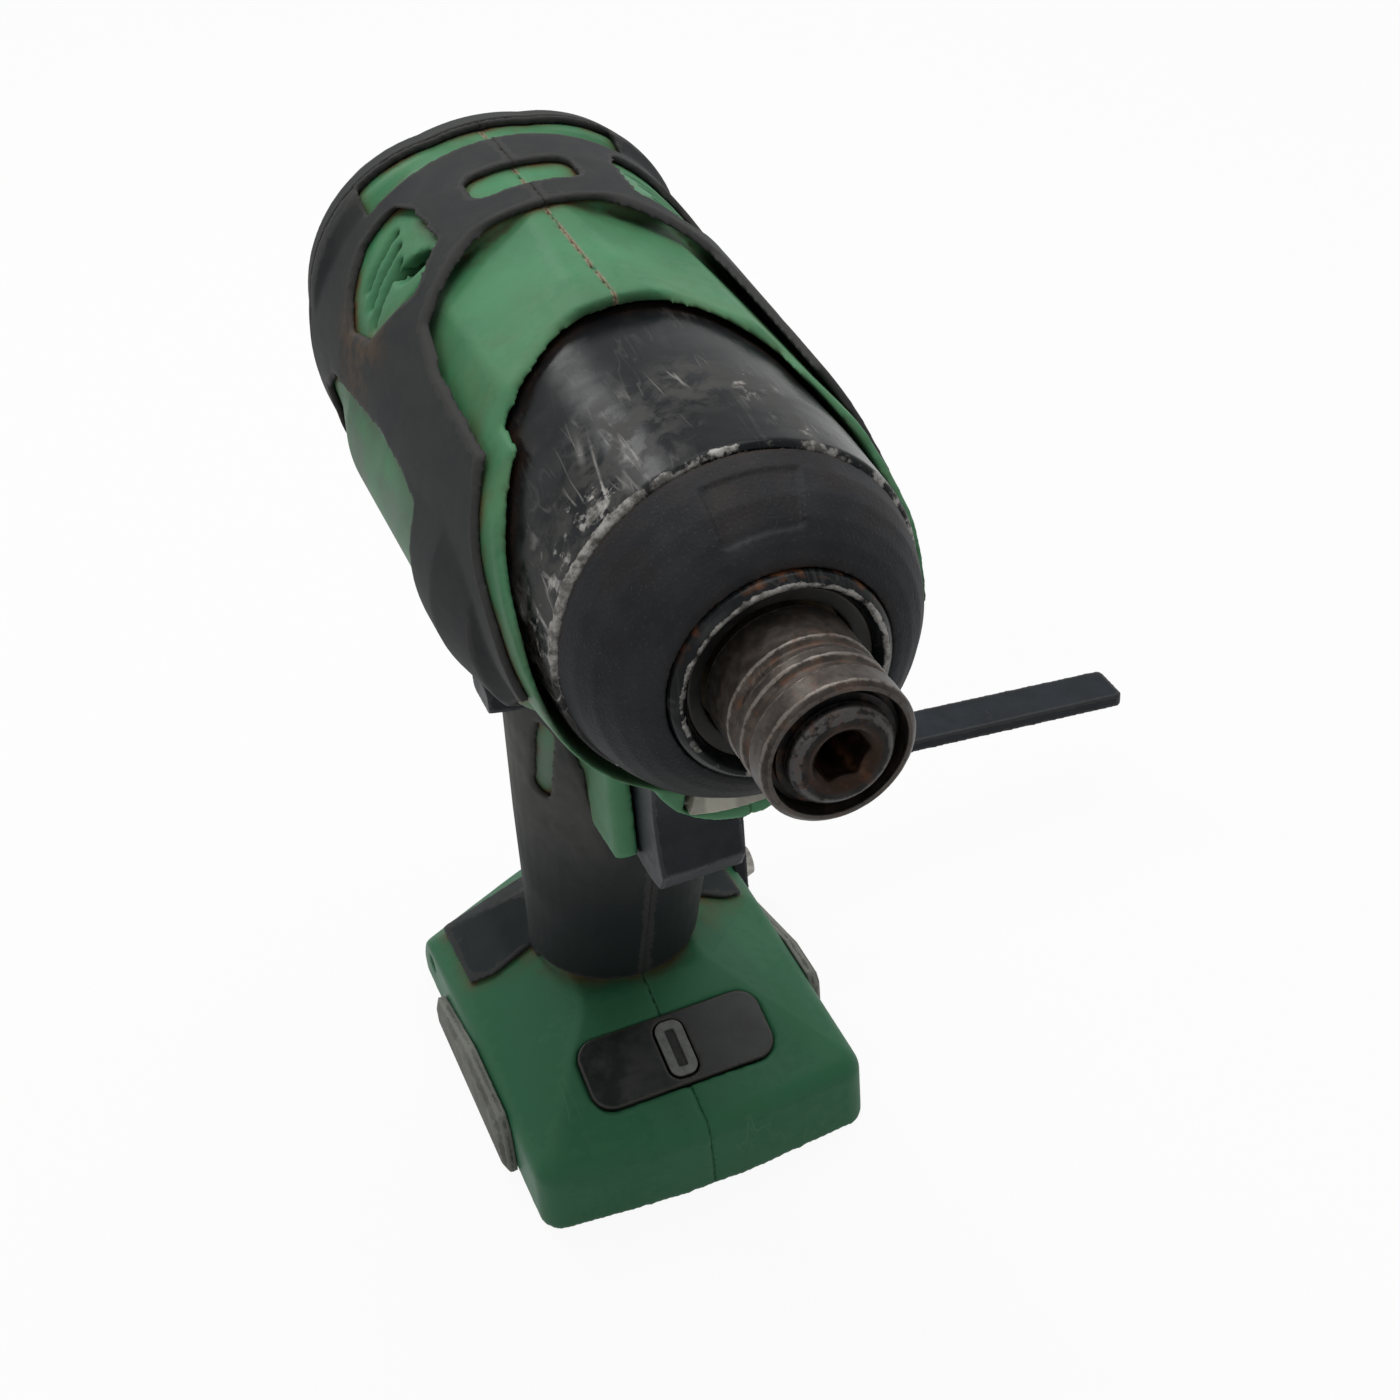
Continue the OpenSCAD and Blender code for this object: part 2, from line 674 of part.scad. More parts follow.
// Solid form of the bumper, shrunk by cut
module bumper_form(cut) {
    rotate_extrude() polygon([[0, ring_z + 1.6], [ring_r + 0.1, ring_z + 1.7],
        [ring_r + 1.4 - cut, ring_z + 1.9 + cut], [ring_r + 3.4 - cut, ring_z + 2.9 + cut],
        [ring_r + 5.6 - cut, ring_z + 4.8 + cut], [ring_r + 7.5 - cut, ring_z + 7.5 + cut / 2],
        [ring_r + 8.8 - cut, ring_z + 10.8], [bumper_d / 2 - 0.25 - cut, ring_z + 13.6],
        [bumper_d / 2 - cut, step_z - fit_gap], [0, step_z - fit_gap]]);
}

// Soft bumper over the front of the hammer case
module front_bumper() {
    color([0.07, 0.075, 0.08]) on_axis() difference() {
        bumper_form(0);
        rotate_extrude() polygon([[0, 0], [ring_r + fit_gap, 0], [ring_r + fit_gap, ring_z + 4.5],
            [ring_r + 5, ring_z + 6.7], [ring_r + 7.5, ring_z + 10.3], [ring_r + 7.9, step_z + 1],
            [0, step_z + 1]]);
        difference() {
            translate([0, 0, ring_z + 4]) rotate([90, 0, 0]) linear_extrude(40)
                polygon([[-5.6, 0], [5, 0], [8, 7.4], [-5.6, 7.4]]);
            bumper_form(0.45);
        }
    }
}

// Dark seal in the recess of the nose ring
module nose_seal() {
    color([0.05, 0.05, 0.05]) on_axis() rotate_extrude() polygon([[recess_r - 1.5, bush_z0 - 2.8],
        [recess_r - fit_gap / 2, bush_z0 - 3.2], [recess_r - fit_gap / 2, bush_z0 - 0.05],
        [recess_r - 1.9, bush_z0 - 0.05], [recess_r - 1.9, bush_z0 - 2.2]]);
}

module anvil() {
    color([0.30, 0.29, 0.28]) on_axis() difference() {
        union() {
            rotate_extrude() polygon([[0, -anvil_tip], [anvil_r - 0.9, -anvil_tip],
                [anvil_r, 0.9 - anvil_tip], [anvil_r, washer_front - 0.9],
                [anvil_r - 0.7, washer_front - 0.9], [anvil_r - 0.7, washer_front],
                [anvil_r, washer_front], [anvil_r, flange_z], [anvil_r + 4.5, flange_z],
                [anvil_r + 4.5, wing_z], [anvil_r + 2, wing_z], [anvil_r + 2, wing_z1], [0, wing_z1]]);
            intersection() {
                translate([-wing_r - 1, -wing_w / 2, wing_z - 0.5])
                    cube([2 * wing_r + 2, wing_w, wing_len + 0.5]);
                cylinder(r = wing_r, h = wing_z1);
            }
        }
        translate([0, 0, -anvil_tip - 1]) cylinder(r = hex_r, h = hex_depth + 1, $fn = 6);
        translate([0, 0, -anvil_tip - 0.01]) cylinder(r1 = hex_r + 0.7, r2 = hex_r - 0.3, h = 1);
        translate([0, 0, wing_z1 - 9.6]) cylinder(r = pilot_r + run_fit, h = 20);
        for (s = [90, -90]) translate([0, 0, ball_z]) rotate([s, 0, 0])
            cylinder(r = ball_d / 2 + 0.12, h = 20);
    }
}

module anvil_bushing() {
    color([0.55, 0.42, 0.22]) on_axis() tube(anvil_r + run_fit, bushing_r, bush_z0 + 0.05, bush_z1);
}

module detent_balls() {
    color([0.7, 0.7, 0.72]) on_axis() for (s = [-1, 1])
        translate([0, s * (anvil_r - ball_d / 2 - 0.12), ball_z]) sphere(r = ball_d / 2);
}

module bit_sleeve() {
    r = sleeve_d / 2;
    color([0.27, 0.24, 0.22]) on_axis() rotate_extrude() polygon([[chamber_r + 0.2, 0], [r - 0.8, 0],
        [r, 0.9], [r, 4.2], [r - 0.75, 4.7], [r - 0.75, 5.9], [r, 6.4], [r, 8.3], [r - 0.75, 8.8],
        [r - 0.75, 10], [r, 10.5], [r, sleeve_len - 0.5], [r - 0.5, sleeve_len], [chamber_r, sleeve_len],
        [chamber_r, land_z1], [land_r, land_z1], [land_r, land_z], [chamber_r, land_z],
        [chamber_r, 0.2]]);
}

module sleeve_spring() {
    color([0.6, 0.6, 0.62]) on_axis() coil(anvil_r + 1, sleeve_wire, 2.5,
        washer_front + washer_len + 0.05, land_z - 0.05);
}

module sleeve_washer() {
    color([0.35, 0.34, 0.33]) on_axis() tube(anvil_r + 0.08, chamber_r - 0.3, washer_front + 0.05,
        washer_front + washer_len);
}

module retaining_ring() {
    color([0.45, 0.44, 0.43]) on_axis() difference() {
        tube(anvil_r - 0.65, anvil_r + 0.9, washer_front - 0.8, washer_front - 0.05);
        translate([-1.2, 0, 0]) cube([2.4, 20, 10]);
    }
}

module hammer() {
    color([0.42, 0.42, 0.44]) on_axis() difference() {
        union() {
            translate([0, 0, hammer_z]) cylinder(r = hammer_d / 2, h = hammer_len);
            intersection() {
                tube(wing_r - 6.2, hammer_d / 2 - 0.3, wing_z + 0.6, hammer_z + 0.5);
                translate([-6.5, -30, 0]) cube([13, 60, hammer_z1]);
            }
        }
        translate([0, 0, hammer_z - 1]) cylinder(r = spindle_r + run_fit, h = hammer_len + 2);
        tube(pocket_in, pocket_out, pocket_z, hammer_z1 + 1);
        translate([-cam_ball_d / 2 - 0.5, -spindle_r - 2.9, hammer_z - 1])
            cube([cam_ball_d + 1, 2 * spindle_r + 5.8, 14.2]);
    }
}

module hammer_spring() {
    color([0.5, 0.5, 0.52]) on_axis() coil((pocket_in + pocket_out) / 2, hammer_wire, 4.5,
        pocket_z + 0.1, washer_z - 0.1);
}

module spring_washer() {
    color([0.55, 0.55, 0.56]) on_axis() tube(spindle_r + 0.1, pocket_out - 0.3, washer_z, plate_z - 0.02);
}

module cam_balls() {
    color([0.75, 0.75, 0.77]) on_axis() for (s = [-1, 1])
        translate([0, s * (spindle_r + 0.25), hammer_z + 10.3]) sphere(r = cam_ball_d / 2);
}

module spindle() {
    color([0.48, 0.48, 0.50]) on_axis() difference() {
        union() {
            translate([0, 0, wing_z1 - 9]) cylinder(r = pilot_r, h = 12);
            translate([0, 0, wing_z1 + 0.6]) cylinder(r = spindle_r, h = plate_z - wing_z1);
            translate([0, 0, plate_z]) cylinder(r = pocket_out, h = plate_len);
            translate([0, 0, tail_z]) cylinder(r = centre_r + 4, h = tail_z1 - tail_z);
            translate([0, 0, tail_z]) cylinder(r = hub_r + 1.2, h = bearing_z - tail_z - 0.05);
            translate([0, 0, tail_z]) cylinder(r = hub_r - 0.02, h = bearing_z + bearing_len - tail_z);
            for (s = [-1, 1]) translate([-5, s * 12.4 - 3, plate_z + 1]) cube([10, 6, tail_z - plate_z]);
        }
        translate([0, 0, planet_z - 1.4]) cylinder(r = sun_r + gear_m + 0.8, h = 40);
        for (s = [-1, 1]) {
            translate([s * centre_r, 0, plate_z + 0.5]) cylinder(r = pin_d / 2 + 0.02, h = 20);
            translate([0, s * (spindle_r + 0.25), hammer_z + 10.3]) sphere(r = cam_ball_d / 2 + 0.1);
        }
    }
}

module planet_gear(s) {
    color([0.6, 0.6, 0.6]) on_axis() translate([s * centre_r, 0, planet_z]) difference() {
        rotate(180 / planet_n) linear_extrude(gear_w) gear_outline(planet_n, gear_m * 0.85,
            gear_m * 1.15, gear_clear);
        translate([0, 0, -1]) cylinder(r = pin_d / 2 + run_fit, h = gear_w + 2);
    }
}

module planet_gear_left() { planet_gear(1); }
module planet_gear_right() { planet_gear(-1); }

module planet_pins() {
    color([0.65, 0.65, 0.67]) on_axis() for (s = [-1, 1])
        translate([s * centre_r, 0, plate_z + 0.55]) cylinder(r = pin_d / 2,
            h = tail_z1 - plate_z - 0.55);
}

module ring_gear() {
    color([0.5, 0.5, 0.5]) on_axis() translate([0, 0, planet_z - 0.2]) difference() {
        cylinder(r = ring_gear_r, h = gear_w + 0.4);
        translate([0, 0, -1]) rotate(180 / ring_n) linear_extrude(gear_w + 3)
            gear_outline(ring_n, gear_m * 1.15, gear_m * 0.8, -gear_clear);
    }
}

// Cover that closes the hammer case and carries the ring gear and both bearings
module gearbox_cover() {
    color([0.30, 0.31, 0.32]) on_axis() difference() {
        rotate_extrude() polygon([[ring_gear_r + fit_gap / 2, case_z1 + 0.1], [cover_r, case_z1 + 0.1],
            [cover_r, bearing_z], [bearing_r + 3, bearing_z + 1.5], [bearing_r + 3, boss_z],
            [motor_bearing_r + 2, boss_z + 0.5], [motor_bearing_r + 2, boss_z1],
            [motor_bearing_r + fit_gap / 2, boss_z1], [motor_bearing_r + fit_gap / 2, boss_z - 0.05],
            [shaft_r + 1.5, boss_z - 0.05], [shaft_r + 1.5, boss_z - 1.2],
            [bearing_r - 1.5, boss_z - 1.2], [bearing_r - 1.5, bearing_z + bearing_len + 0.05],
            [bearing_r + fit_gap / 2, bearing_z + bearing_len + 0.05],
            [bearing_r + fit_gap / 2, tail_z1 + 0.4], [ring_gear_r + fit_gap / 2, tail_z1 + 0.4]]);
        for (a = [45 : 90 : 315]) rotate(a) translate([case_screw_r, 0, 0]) {
            cylinder(r = screw_d / 2 + 0.1, h = 200);
            translate([0, 0, bearing_z - 2.6]) cylinder(r = screw_head_d / 2 - 0.5, h = 100);
        }
    }
}

// Ring bearing drawn as one closed solid with grooved faces
module bearing(a, b, z0, len) {
    m = (a + b) / 2;
    rotate_extrude() polygon([[a, z0], [m - 0.8, z0], [m - 0.8, z0 + 0.5], [m + 0.8, z0 + 0.5],
        [m + 0.8, z0],
        [b, z0], [b, z0 + len], [m + 0.8, z0 + len], [m + 0.8, z0 + len - 0.5], [m - 0.8, z0 + len - 0.5],
        [m - 0.8, z0 + len], [a, z0 + len]]);
}

module spindle_bearing() {
    color([0.7, 0.7, 0.72]) on_axis() bearing(hub_r + 0.04, bearing_r, bearing_z, bearing_len);
}

module front_motor_bearing() {
    color([0.7, 0.7, 0.72]) on_axis() bearing(shaft_r + 0.04, motor_bearing_r, boss_z, motor_bearing_len);
}

module rear_motor_bearing() {
    color([0.7, 0.7, 0.72]) on_axis() bearing(shaft_r + 0.04, motor_bearing_r, rear_bearing_z,
        motor_bearing_len);
}

module rotor() {
    color([0.45, 0.45, 0.47]) on_axis() {
        translate([0, 0, planet_z]) linear_extrude(gear_w) gear_outline(sun_n, gear_m * 0.85,
            gear_m * 1.1, gear_clear);
        translate([0, 0, planet_z]) cylinder(r = shaft_r, h = rear_bearing_z1 - 0.3 - planet_z);
        translate([0, 0, stack_z]) cylinder(r = rotor_d / 2 - 2, h = stack_len);
    }
}

module rotor_magnets() {
    color([0.25, 0.25, 0.27]) on_axis() tube(rotor_d / 2 - 1.95, rotor_d / 2, stack_z, stack_z1);
}

module cooling_fan() {
    color([0.75, 0.75, 0.72]) on_axis() translate([0, 0, fan_z]) {
        tube(shaft_r + 0.03, fan_d / 2, 0, 1.2);
        tube(shaft_r + 0.03, shaft_r + 2.5, 1, fan_len);
        for (i = [0 : fan_n - 1]) rotate(i * 360 / fan_n) translate([8, -0.5, 1])
            cube([fan_d / 2 - 8.6, 1, fan_len - 1]);
    }
}

// Corner of a winding slot: along the side of the next tooth at a radius, on side s
function slot_corner(r, s) = [r * cos(30) + tooth_w / 2 * sin(30), s * (r * sin(30)
    - tooth_w / 2 * cos(30))];

module stator() {
    color([0.35, 0.35, 0.37]) on_axis() difference() {
        translate([0, 0, stack_z]) cylinder(r = stator_r, h = stack_len);
        translate([0, 0, stack_z - 1]) cylinder(r = bore_stator_r, h = stack_len + 2);
        for (i = [0 : 5]) rotate(i * 60) translate([0, 0, stack_z - 1]) linear_extrude(stack_len + 2) {
            polygon([slot_corner(bore_stator_r + 1.3, -1), slot_corner(stator_r - 4.2, -1),
                slot_corner(stator_r - 4.2, 1), slot_corner(bore_stator_r + 1.3, 1)]);
            translate([bore_stator_r - 2, -1.2]) square([4, 2.4]);
        }
    }
}

module windings() {
    color([0.65, 0.33, 0.14]) on_axis() for (i = [0 : 5]) rotate(i * 60 + 30) difference() {
        translate([bore_stator_r + 1.75, -4.6, stack_z - 3.2]) cube([5.4, 9.2, stack_len + 6.4]);
        translate([bore_stator_r, -tooth_w / 2 - 0.05, stack_z - 0.1])
            cube([9, tooth_w + 0.1, stack_len + 0.2]);
    }
}

module sensor_board() {
    color([0.08, 0.30, 0.14]) on_axis() tube(motor_bearing_r + 2.3, stator_r - 3.4, boss_z1 - 2.2,
        boss_z1 - 0.6);
}

module switch_body() {
    color([0.15, 0.15, 0.16]) side(8.5) difference() {
        polygon([[trigger_rear(switch_top) + switch_gap, switch_top], [switch_back, switch_top],
            [switch_back, switch_end], [trigger_rear(switch_end) + switch_gap, switch_end]]);
        translate([recess_y - 14, plunger_z - 3.4]) square([14, 6.8]);
    }
}

// Trigger with its curved front and the plunger that enters the switch
module trigger() {
    color([0.09, 0.10, 0.13]) {
        side(trigger_w / 2) offset(1) offset(-1) polygon(concat(
            [[trigger_rear(trigger_top), trigger_top], [trigger_y + 1, trigger_top]],
            [for (i = [0 : 6]) [trigger_y + 0.2 + 1.7 * sin(i * 30), trigger_top - 3 - i * 3.6]],
            [[trigger_y + 2.2, trigger_end + 1], [trigger_y + 6, trigger_end],
                [trigger_rear(trigger_end), trigger_end]]));
        translate([0, recess_y - 16 - nose_reach, plunger_z + axis_h]) rotate([-90, 0, 0])
            cylinder(r = 2, h = 16 - trigger_travel - 1);
    }
}

module trigger_spring() {
    color([0.6, 0.6, 0.62]) translate([0, -nose_reach, plunger_z + axis_h]) rotate([-90, 0, 0])
        coil(2.75, 0.6, 6, trigger_rear(plunger_z - 3.1) + 0.05, recess_y - 0.05);
}

// Cross bar with rounded thumb pads at both ends
module direction_lever() {
    color([0.09, 0.10, 0.13]) {
        side(19.2) translate([lever_y, lever_z]) square([lever_d, lever_h], center = true);
        for (s = [-1, 1]) hull() {
            side(0.5, s * 19.4) translate([lever_y, lever_z]) square([lever_d, lever_h],
                center = true);
            side(2, s * 22.4) translate([lever_y, lever_z]) offset(1.5)
                square([lever_d - 3.6, lever_h - 3.2], center = true);
        }
    }
}

module led_board() {
    color([0.08, 0.30, 0.14]) on_axis() rotate(90 - lens_half) rotate_extrude(angle = 2 * lens_half)
        translate([lens_r0 + 0.2, step_z + 4.4]) square([3.6, 1.4]);
}

module led_lens() {
    color([0.80, 0.78, 0.66]) on_axis() rotate(90 - lens_half) rotate_extrude(angle = 2 * lens_half)
        translate([lens_r0, step_z + 0.1]) square([lens_r1 - lens_r0, 4]);
}

// Places a piece on the sloped top of the foot, lifted along its normal
module panel_place(lift) {
    translate([0, panel_y - nose_reach, panel_z]) rotate([panel_tilt, 0, 0]) translate([0, 0, lift])
        children();
}

module panel_outline(grow) {
    offset(4 + grow) square([panel_l - 8, panel_w - 8], center = true);
}

module button_outline(grow) {
    offset(2 + grow) square([button_w - 4, button_l - 4], center = true);
}

module control_panel() {
    color([0.07, 0.07, 0.08]) panel_place(-1.75) difference() {
        linear_extrude(2.15) panel_outline(0);
        translate([0, 0, -1]) linear_extrude(5) button_outline(0.35);
    }
}

// Push button with a raised rim
module mode_button() {
    color([0.33, 0.34, 0.35]) panel_place(-2) difference() {
        linear_extrude(2.9) button_outline(0);
        translate([0, 0, 2.3]) linear_extrude(2) button_outline(-1.7);
    }
}

// Circuit board on the foot's floor, with a row of four power switches
module control_board() {
    board_w = 46;
    board_len = 44;
    board_t = 1.6;
    chip_w = 6;
    chip_pitch = 10;
    y0 = foot_y0 + 8 - nose_reach;
    color([0.08, 0.30, 0.14]) translate([-board_w / 2, y0, floor_h + 0.3])
        cube([board_w, board_len, board_t]);
    color([0.12, 0.12, 0.12]) for (i = [0 : 3])
        translate([-board_w / 2 + 4 + chip_pitch * i, y0 + board_len - 16, floor_h + 0.3 + board_t])
            cube([chip_w, chip_w * 1.5, chip_w / 2]);
}

// Contact block that hangs into the battery channel
module terminal_block() {
    color([0.16, 0.16, 0.17]) translate([-13, foot_y0 + 8.2 - nose_reach, 3]) difference() {
        cube([26, 12, bay_h - 3.05]);
        for (i = [0 : 4]) translate([2.5 + 4.6 * i, 4, -1]) cube([2, 9, 4.4]);
    }
}

// Guard plates on both sides of the foot
module side_plates() {
    color([0.16, 0.16, 0.16]) for (s = [-1, 1]) hull() {
        side_plate_slab(s, 0.05, 1.6, 0);
        side_plate_slab(s, 0.1, plate_t, 1.6);
    }
}

module side_plate_slab(s, x0, x1, inset) {
    y0 = s > 0 ? plate_y0_left : plate_y0;
    side((x1 - x0) / 2, s * (foot_w / 2 + (x0 + x1) / 2)) offset(-inset) polygon([[y0, -axis_h + 0.5],
        [plate_y1, -axis_h + 0.5], [plate_y1, -axis_h + 7], [plate_y1 - 22, foot_h - 2.5 - axis_h],
        [y0 + 2, foot_h - 2.5 - axis_h], [y0, foot_h - 5 - axis_h]]);
}

// Strip hook: one leg on the foot, the free leg standing out sideways
module belt_hook() {
    x0 = foot_w / 2 + 0.05;
    color([0.10, 0.11, 0.13]) difference() {
        intersection() {
            translate([0, hook_y + hook_w / 2 - nose_reach, 0]) rotate([90, 0, 0]) linear_extrude(hook_w)
                offset(-1.2) offset(2.4) offset(-1.2) polygon([[x0, hook_z - 6],
                [x0 + hook_t, hook_z - 6], [x0 + hook_t, bend_z - hook_t],
                [x0 + hook_reach, bend_z - hook_t - hook_drop],
                [x0 + hook_reach + 0.4, bend_z - hook_drop], [x0, bend_z]]);
            translate([0, hook_y - nose_reach, -10]) linear_extrude(100) hull() {
                translate([x0 - 5, 0]) square([20, hook_w], center = true);
                translate([x0 + hook_reach - 2, 0]) offset(1.5) square([1, hook_w - 3.6], center = true);
            }
        }
        translate([x0 - 1, hook_y - nose_reach, hook_z]) rotate([0, 90, 0])
            cylinder(r = hook_screw_d / 2 + 0.2, h = 9);
    }
}

module hook_screw() {
    color([0.5, 0.5, 0.52]) translate([foot_w / 2 + hook_t + 0.1, hook_y - nose_reach, hook_z])
        rotate([0, 90, 0])
        screw_form(hook_screw_d / 2 - 0.35, hook_screw_d * 0.9, hook_t + 6.4, 2.2);
}

// Screw with its head from z = 0 up and its shank below, with a cross recess
module screw_form(r, head_r, len, head_h) {
    difference() {
        union() {
            translate([0, 0, -len]) cylinder(r = r, h = len + 0.1);
            cylinder(r1 = head_r, r2 = head_r * 0.82, h = head_h);
        }
        for (a = [0, 90]) rotate(a) translate([-head_r * 0.5, -0.4, head_h - 1]) cube([head_r, 0.8, 3]);
    }
}

module housing_screws() {
    color([0.35, 0.35, 0.36]) for (p = screw_spots)
        translate([7.05, p[0] - nose_reach, p[1] + axis_h]) rotate([0, 90, 0])
            screw_form(screw_d / 2, screw_head_d / 2, 15, 2);
}

module rear_cap_screws() {
    color([0.35, 0.35, 0.36]) on_axis() for (s = [-1, 1])
        translate([0, s * (motor_in - 3.4), cap_z1 - 1.6]) screw_form(screw_d / 2, screw_head_d / 2,
            4.4, 1.5);
}

module case_screws() {
    color([0.35, 0.35, 0.36]) on_axis() for (a = [45 : 90 : 315]) rotate(a)
        translate([case_screw_r, 0, bearing_z - 2.55]) screw_form(screw_d / 2 - 0.25,
            screw_head_d / 2 - 0.7,
            bearing_z - case_z1 + 2, 1.6);
}

// Three insulated leads from the windings down the grip to the board
module motor_leads() {
    color([0.5, 0.1, 0.1]) for (i = [-1 : 1]) lead(i * 2.6, 1);
}

lead_k = (axis_h - floor_h - 2.6) / 134.4;
function lead_path() = concat([[101.2, -22.6], [98.6, -24.8], [98, -30]],
    [for (p = [[98.6, -38], [99.8, -48], [101.4, -58], [103.8, -68], [106.8, -80], [110.2, -93],
        [113.4, -106], [115, -117], [113.6, -127], [111, -134.4]]) [p[0], p[1] * lead_k]]);

module lead(x, r) {
    path = lead_path();
    n = len(path);
    dirs = [for (i = [0 : n - 1]) let (a = path[max(i - 1, 0)], b = path[min(i + 1, n - 1)],
        d = b - a) d / norm(d)];
    points = [for (i = [0 : n - 1], j = [0 : 7]) let (c = r * cos(45 * j), s = r * sin(45 * j))
        [x + c, path[i][0] - nose_reach - dirs[i][1] * s, path[i][1] + axis_h + dirs[i][0] * s]];
    walls = [for (i = [0 : n - 2], j = [0 : 7]) let (k = (j + 1) % 8)
        each [[i * 8 + j, (i + 1) * 8 + j, i * 8 + k], [i * 8 + k, (i + 1) * 8 + j, (i + 1) * 8 + k]]];
    first = [for (j = [1 : 6]) [0, j, j + 1]];
    last = [for (j = [1 : 6]) [(n - 1) * 8, (n - 1) * 8 + j + 1, (n - 1) * 8 + j]];
    polyhedron(points, concat(walls, first, last));
}

housing_left();
housing_right();
overmould_left();
overmould_right();
rear_cap();
hammer_case();
front_bumper();
nose_seal();
anvil();
anvil_bushing();
detent_balls();
bit_sleeve();
sleeve_spring();
sleeve_washer();
retaining_ring();
hammer();
hammer_spring();
spring_washer();
cam_balls();
spindle();
planet_gear_left();
planet_gear_right();
planet_pins();
ring_gear();
gearbox_cover();
spindle_bearing();
rotor();
rotor_magnets();
cooling_fan();
stator();
windings();
front_motor_bearing();
rear_motor_bearing();
sensor_board();
switch_body();
trigger();
trigger_spring();
direction_lever();
led_board();
led_lens();
control_board();
control_panel();
mode_button();
terminal_block();
side_plates();
belt_hook();
hook_screw();
housing_screws();
rear_cap_screws();
case_screws();
motor_leads();
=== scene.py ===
# %% [markdown]
# # A cordless impact driver, standing on its foot without its battery
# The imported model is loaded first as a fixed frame. Every piece made here sits in that frame, in metres:
# the nose points along -Y, +Z is up, and the origin is the middle of the foot's underside.
# The CAD solids have sharp edges and plain colours. Here they get their soft moulded edges, their finishes
# and their wear, and the pieces that show become new meshes that stand for the CAD nodes.

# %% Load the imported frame
import math

import bmesh
import bpy
import numpy as np
from mathutils import Matrix, Vector
from mathutils.bvhtree import BVHTree


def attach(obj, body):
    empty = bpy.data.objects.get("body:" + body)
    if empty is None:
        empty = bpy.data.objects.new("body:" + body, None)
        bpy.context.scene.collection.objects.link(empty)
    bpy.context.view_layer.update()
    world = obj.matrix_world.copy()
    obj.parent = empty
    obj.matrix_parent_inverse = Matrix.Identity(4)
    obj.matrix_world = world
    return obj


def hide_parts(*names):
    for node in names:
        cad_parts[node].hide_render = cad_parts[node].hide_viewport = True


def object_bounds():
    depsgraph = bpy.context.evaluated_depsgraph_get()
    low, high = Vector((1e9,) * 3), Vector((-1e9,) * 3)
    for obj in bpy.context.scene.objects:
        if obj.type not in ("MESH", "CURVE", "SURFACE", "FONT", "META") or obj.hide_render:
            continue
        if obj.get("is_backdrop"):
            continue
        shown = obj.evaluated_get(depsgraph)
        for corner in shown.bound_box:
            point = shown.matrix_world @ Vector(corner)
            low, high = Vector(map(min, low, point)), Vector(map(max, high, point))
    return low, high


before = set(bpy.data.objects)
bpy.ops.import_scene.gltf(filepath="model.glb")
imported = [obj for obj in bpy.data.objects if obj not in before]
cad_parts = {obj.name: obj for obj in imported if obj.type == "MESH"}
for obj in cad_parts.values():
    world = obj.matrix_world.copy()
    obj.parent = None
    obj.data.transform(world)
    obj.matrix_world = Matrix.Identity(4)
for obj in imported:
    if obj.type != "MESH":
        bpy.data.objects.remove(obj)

cad_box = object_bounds()
scene = bpy.context.scene
MM = 0.001
AXIS_HEIGHT = 0.1465
SLEEVE_FRONT_Y = -0.103
print("CAD box", [tuple(round(c, 4) for c in corner) for corner in cad_box])


# %% [markdown]
# ## Camera
# The photograph looks down on the tool from the front and a little from the tool's right side. The place
# and the turn of the camera come from fitting the ellipses of the nose and the foot's edges to the picture.

# %% The photograph's camera
lens = bpy.data.cameras.new("photo_camera")
lens.sensor_width = 36
lens.lens = 56.72
lens.clip_start = 0.01
camera = bpy.data.objects.new("photo_camera", lens)
scene.collection.objects.link(camera)
stand = (-0.08197, -0.28809, 0.31297)
look = Vector((0.26132647, 0.74595048, -0.61258988))
top_of_frame = Vector((0.28361498, 0.54729042, 0.78742348))
turn = Matrix((look.cross(top_of_frame), top_of_frame, -look)).transposed()
camera.matrix_world = Matrix.Translation(stand) @ turn.to_4x4()
scene.camera = camera
print("camera at", tuple(round(c, 4) for c in camera.location))


# %% [markdown]
# ## Light, floor and background
# One wide lamp overhead gives the soft light of the photograph: faces that look up are pale, and the
# underside of the nose falls dark. A weak lamp from the front opens the shadows, and a small one from
# behind leaves the gleam on the gloss paint of the case. The floor is white for the camera, and keeps a
# faint shadow of the tool.

# %% Lamps and world
def soft_lamp(name, place, aim, size, watts):
    lamp = bpy.data.lights.new(name, "AREA")
    lamp.shape = "DISK"
    lamp.size = size
    lamp.energy = watts
    holder = bpy.data.objects.new(name, lamp)
    scene.collection.objects.link(holder)
    aimed = (Vector(aim) - Vector(place)).to_track_quat("-Z", "Y").to_matrix().to_4x4()
    holder.matrix_world = Matrix.Translation(place) @ aimed
    print(name, watts, "W")


soft_lamp("overhead_lamp", (0.14, 0.14, 1.0), (0, 0, 0.1), 0.9, 6.0)
soft_lamp("front_lamp", (-0.7, -0.7, 0.7), (0, 0, 0.1), 0.5, 1.2)
soft_lamp("gleam_lamp", (-0.20, 0.70, 0.79), (0, 0, 0.15), 0.26, 2.0)
scene.view_settings.view_transform = "Standard"


# %% [markdown]
# ## Node trees from code
# A material, a world and a Geometry Nodes effect are graphs of nodes. They could be wired by hand, but a
# script can be read and run again. These functions add a node, set it and link it in one line.

# %% Small helpers for building node trees
def feed(tree, node, values):
    """Fills a node's inputs, each with a plain value or with another node's output."""
    for key, value in values.items():
        if isinstance(value, bpy.types.NodeSocket):
            tree.links.new(value, node.inputs[key])
        else:
            node.inputs[key].default_value = value
    return node


def put(tree, kind, into=None, **settings):
    """Adds a node with its settings and its inputs."""
    made = tree.nodes.new(kind)
    for name, value in settings.items():
        setattr(made, name, value)
    return feed(tree, made, into or {})


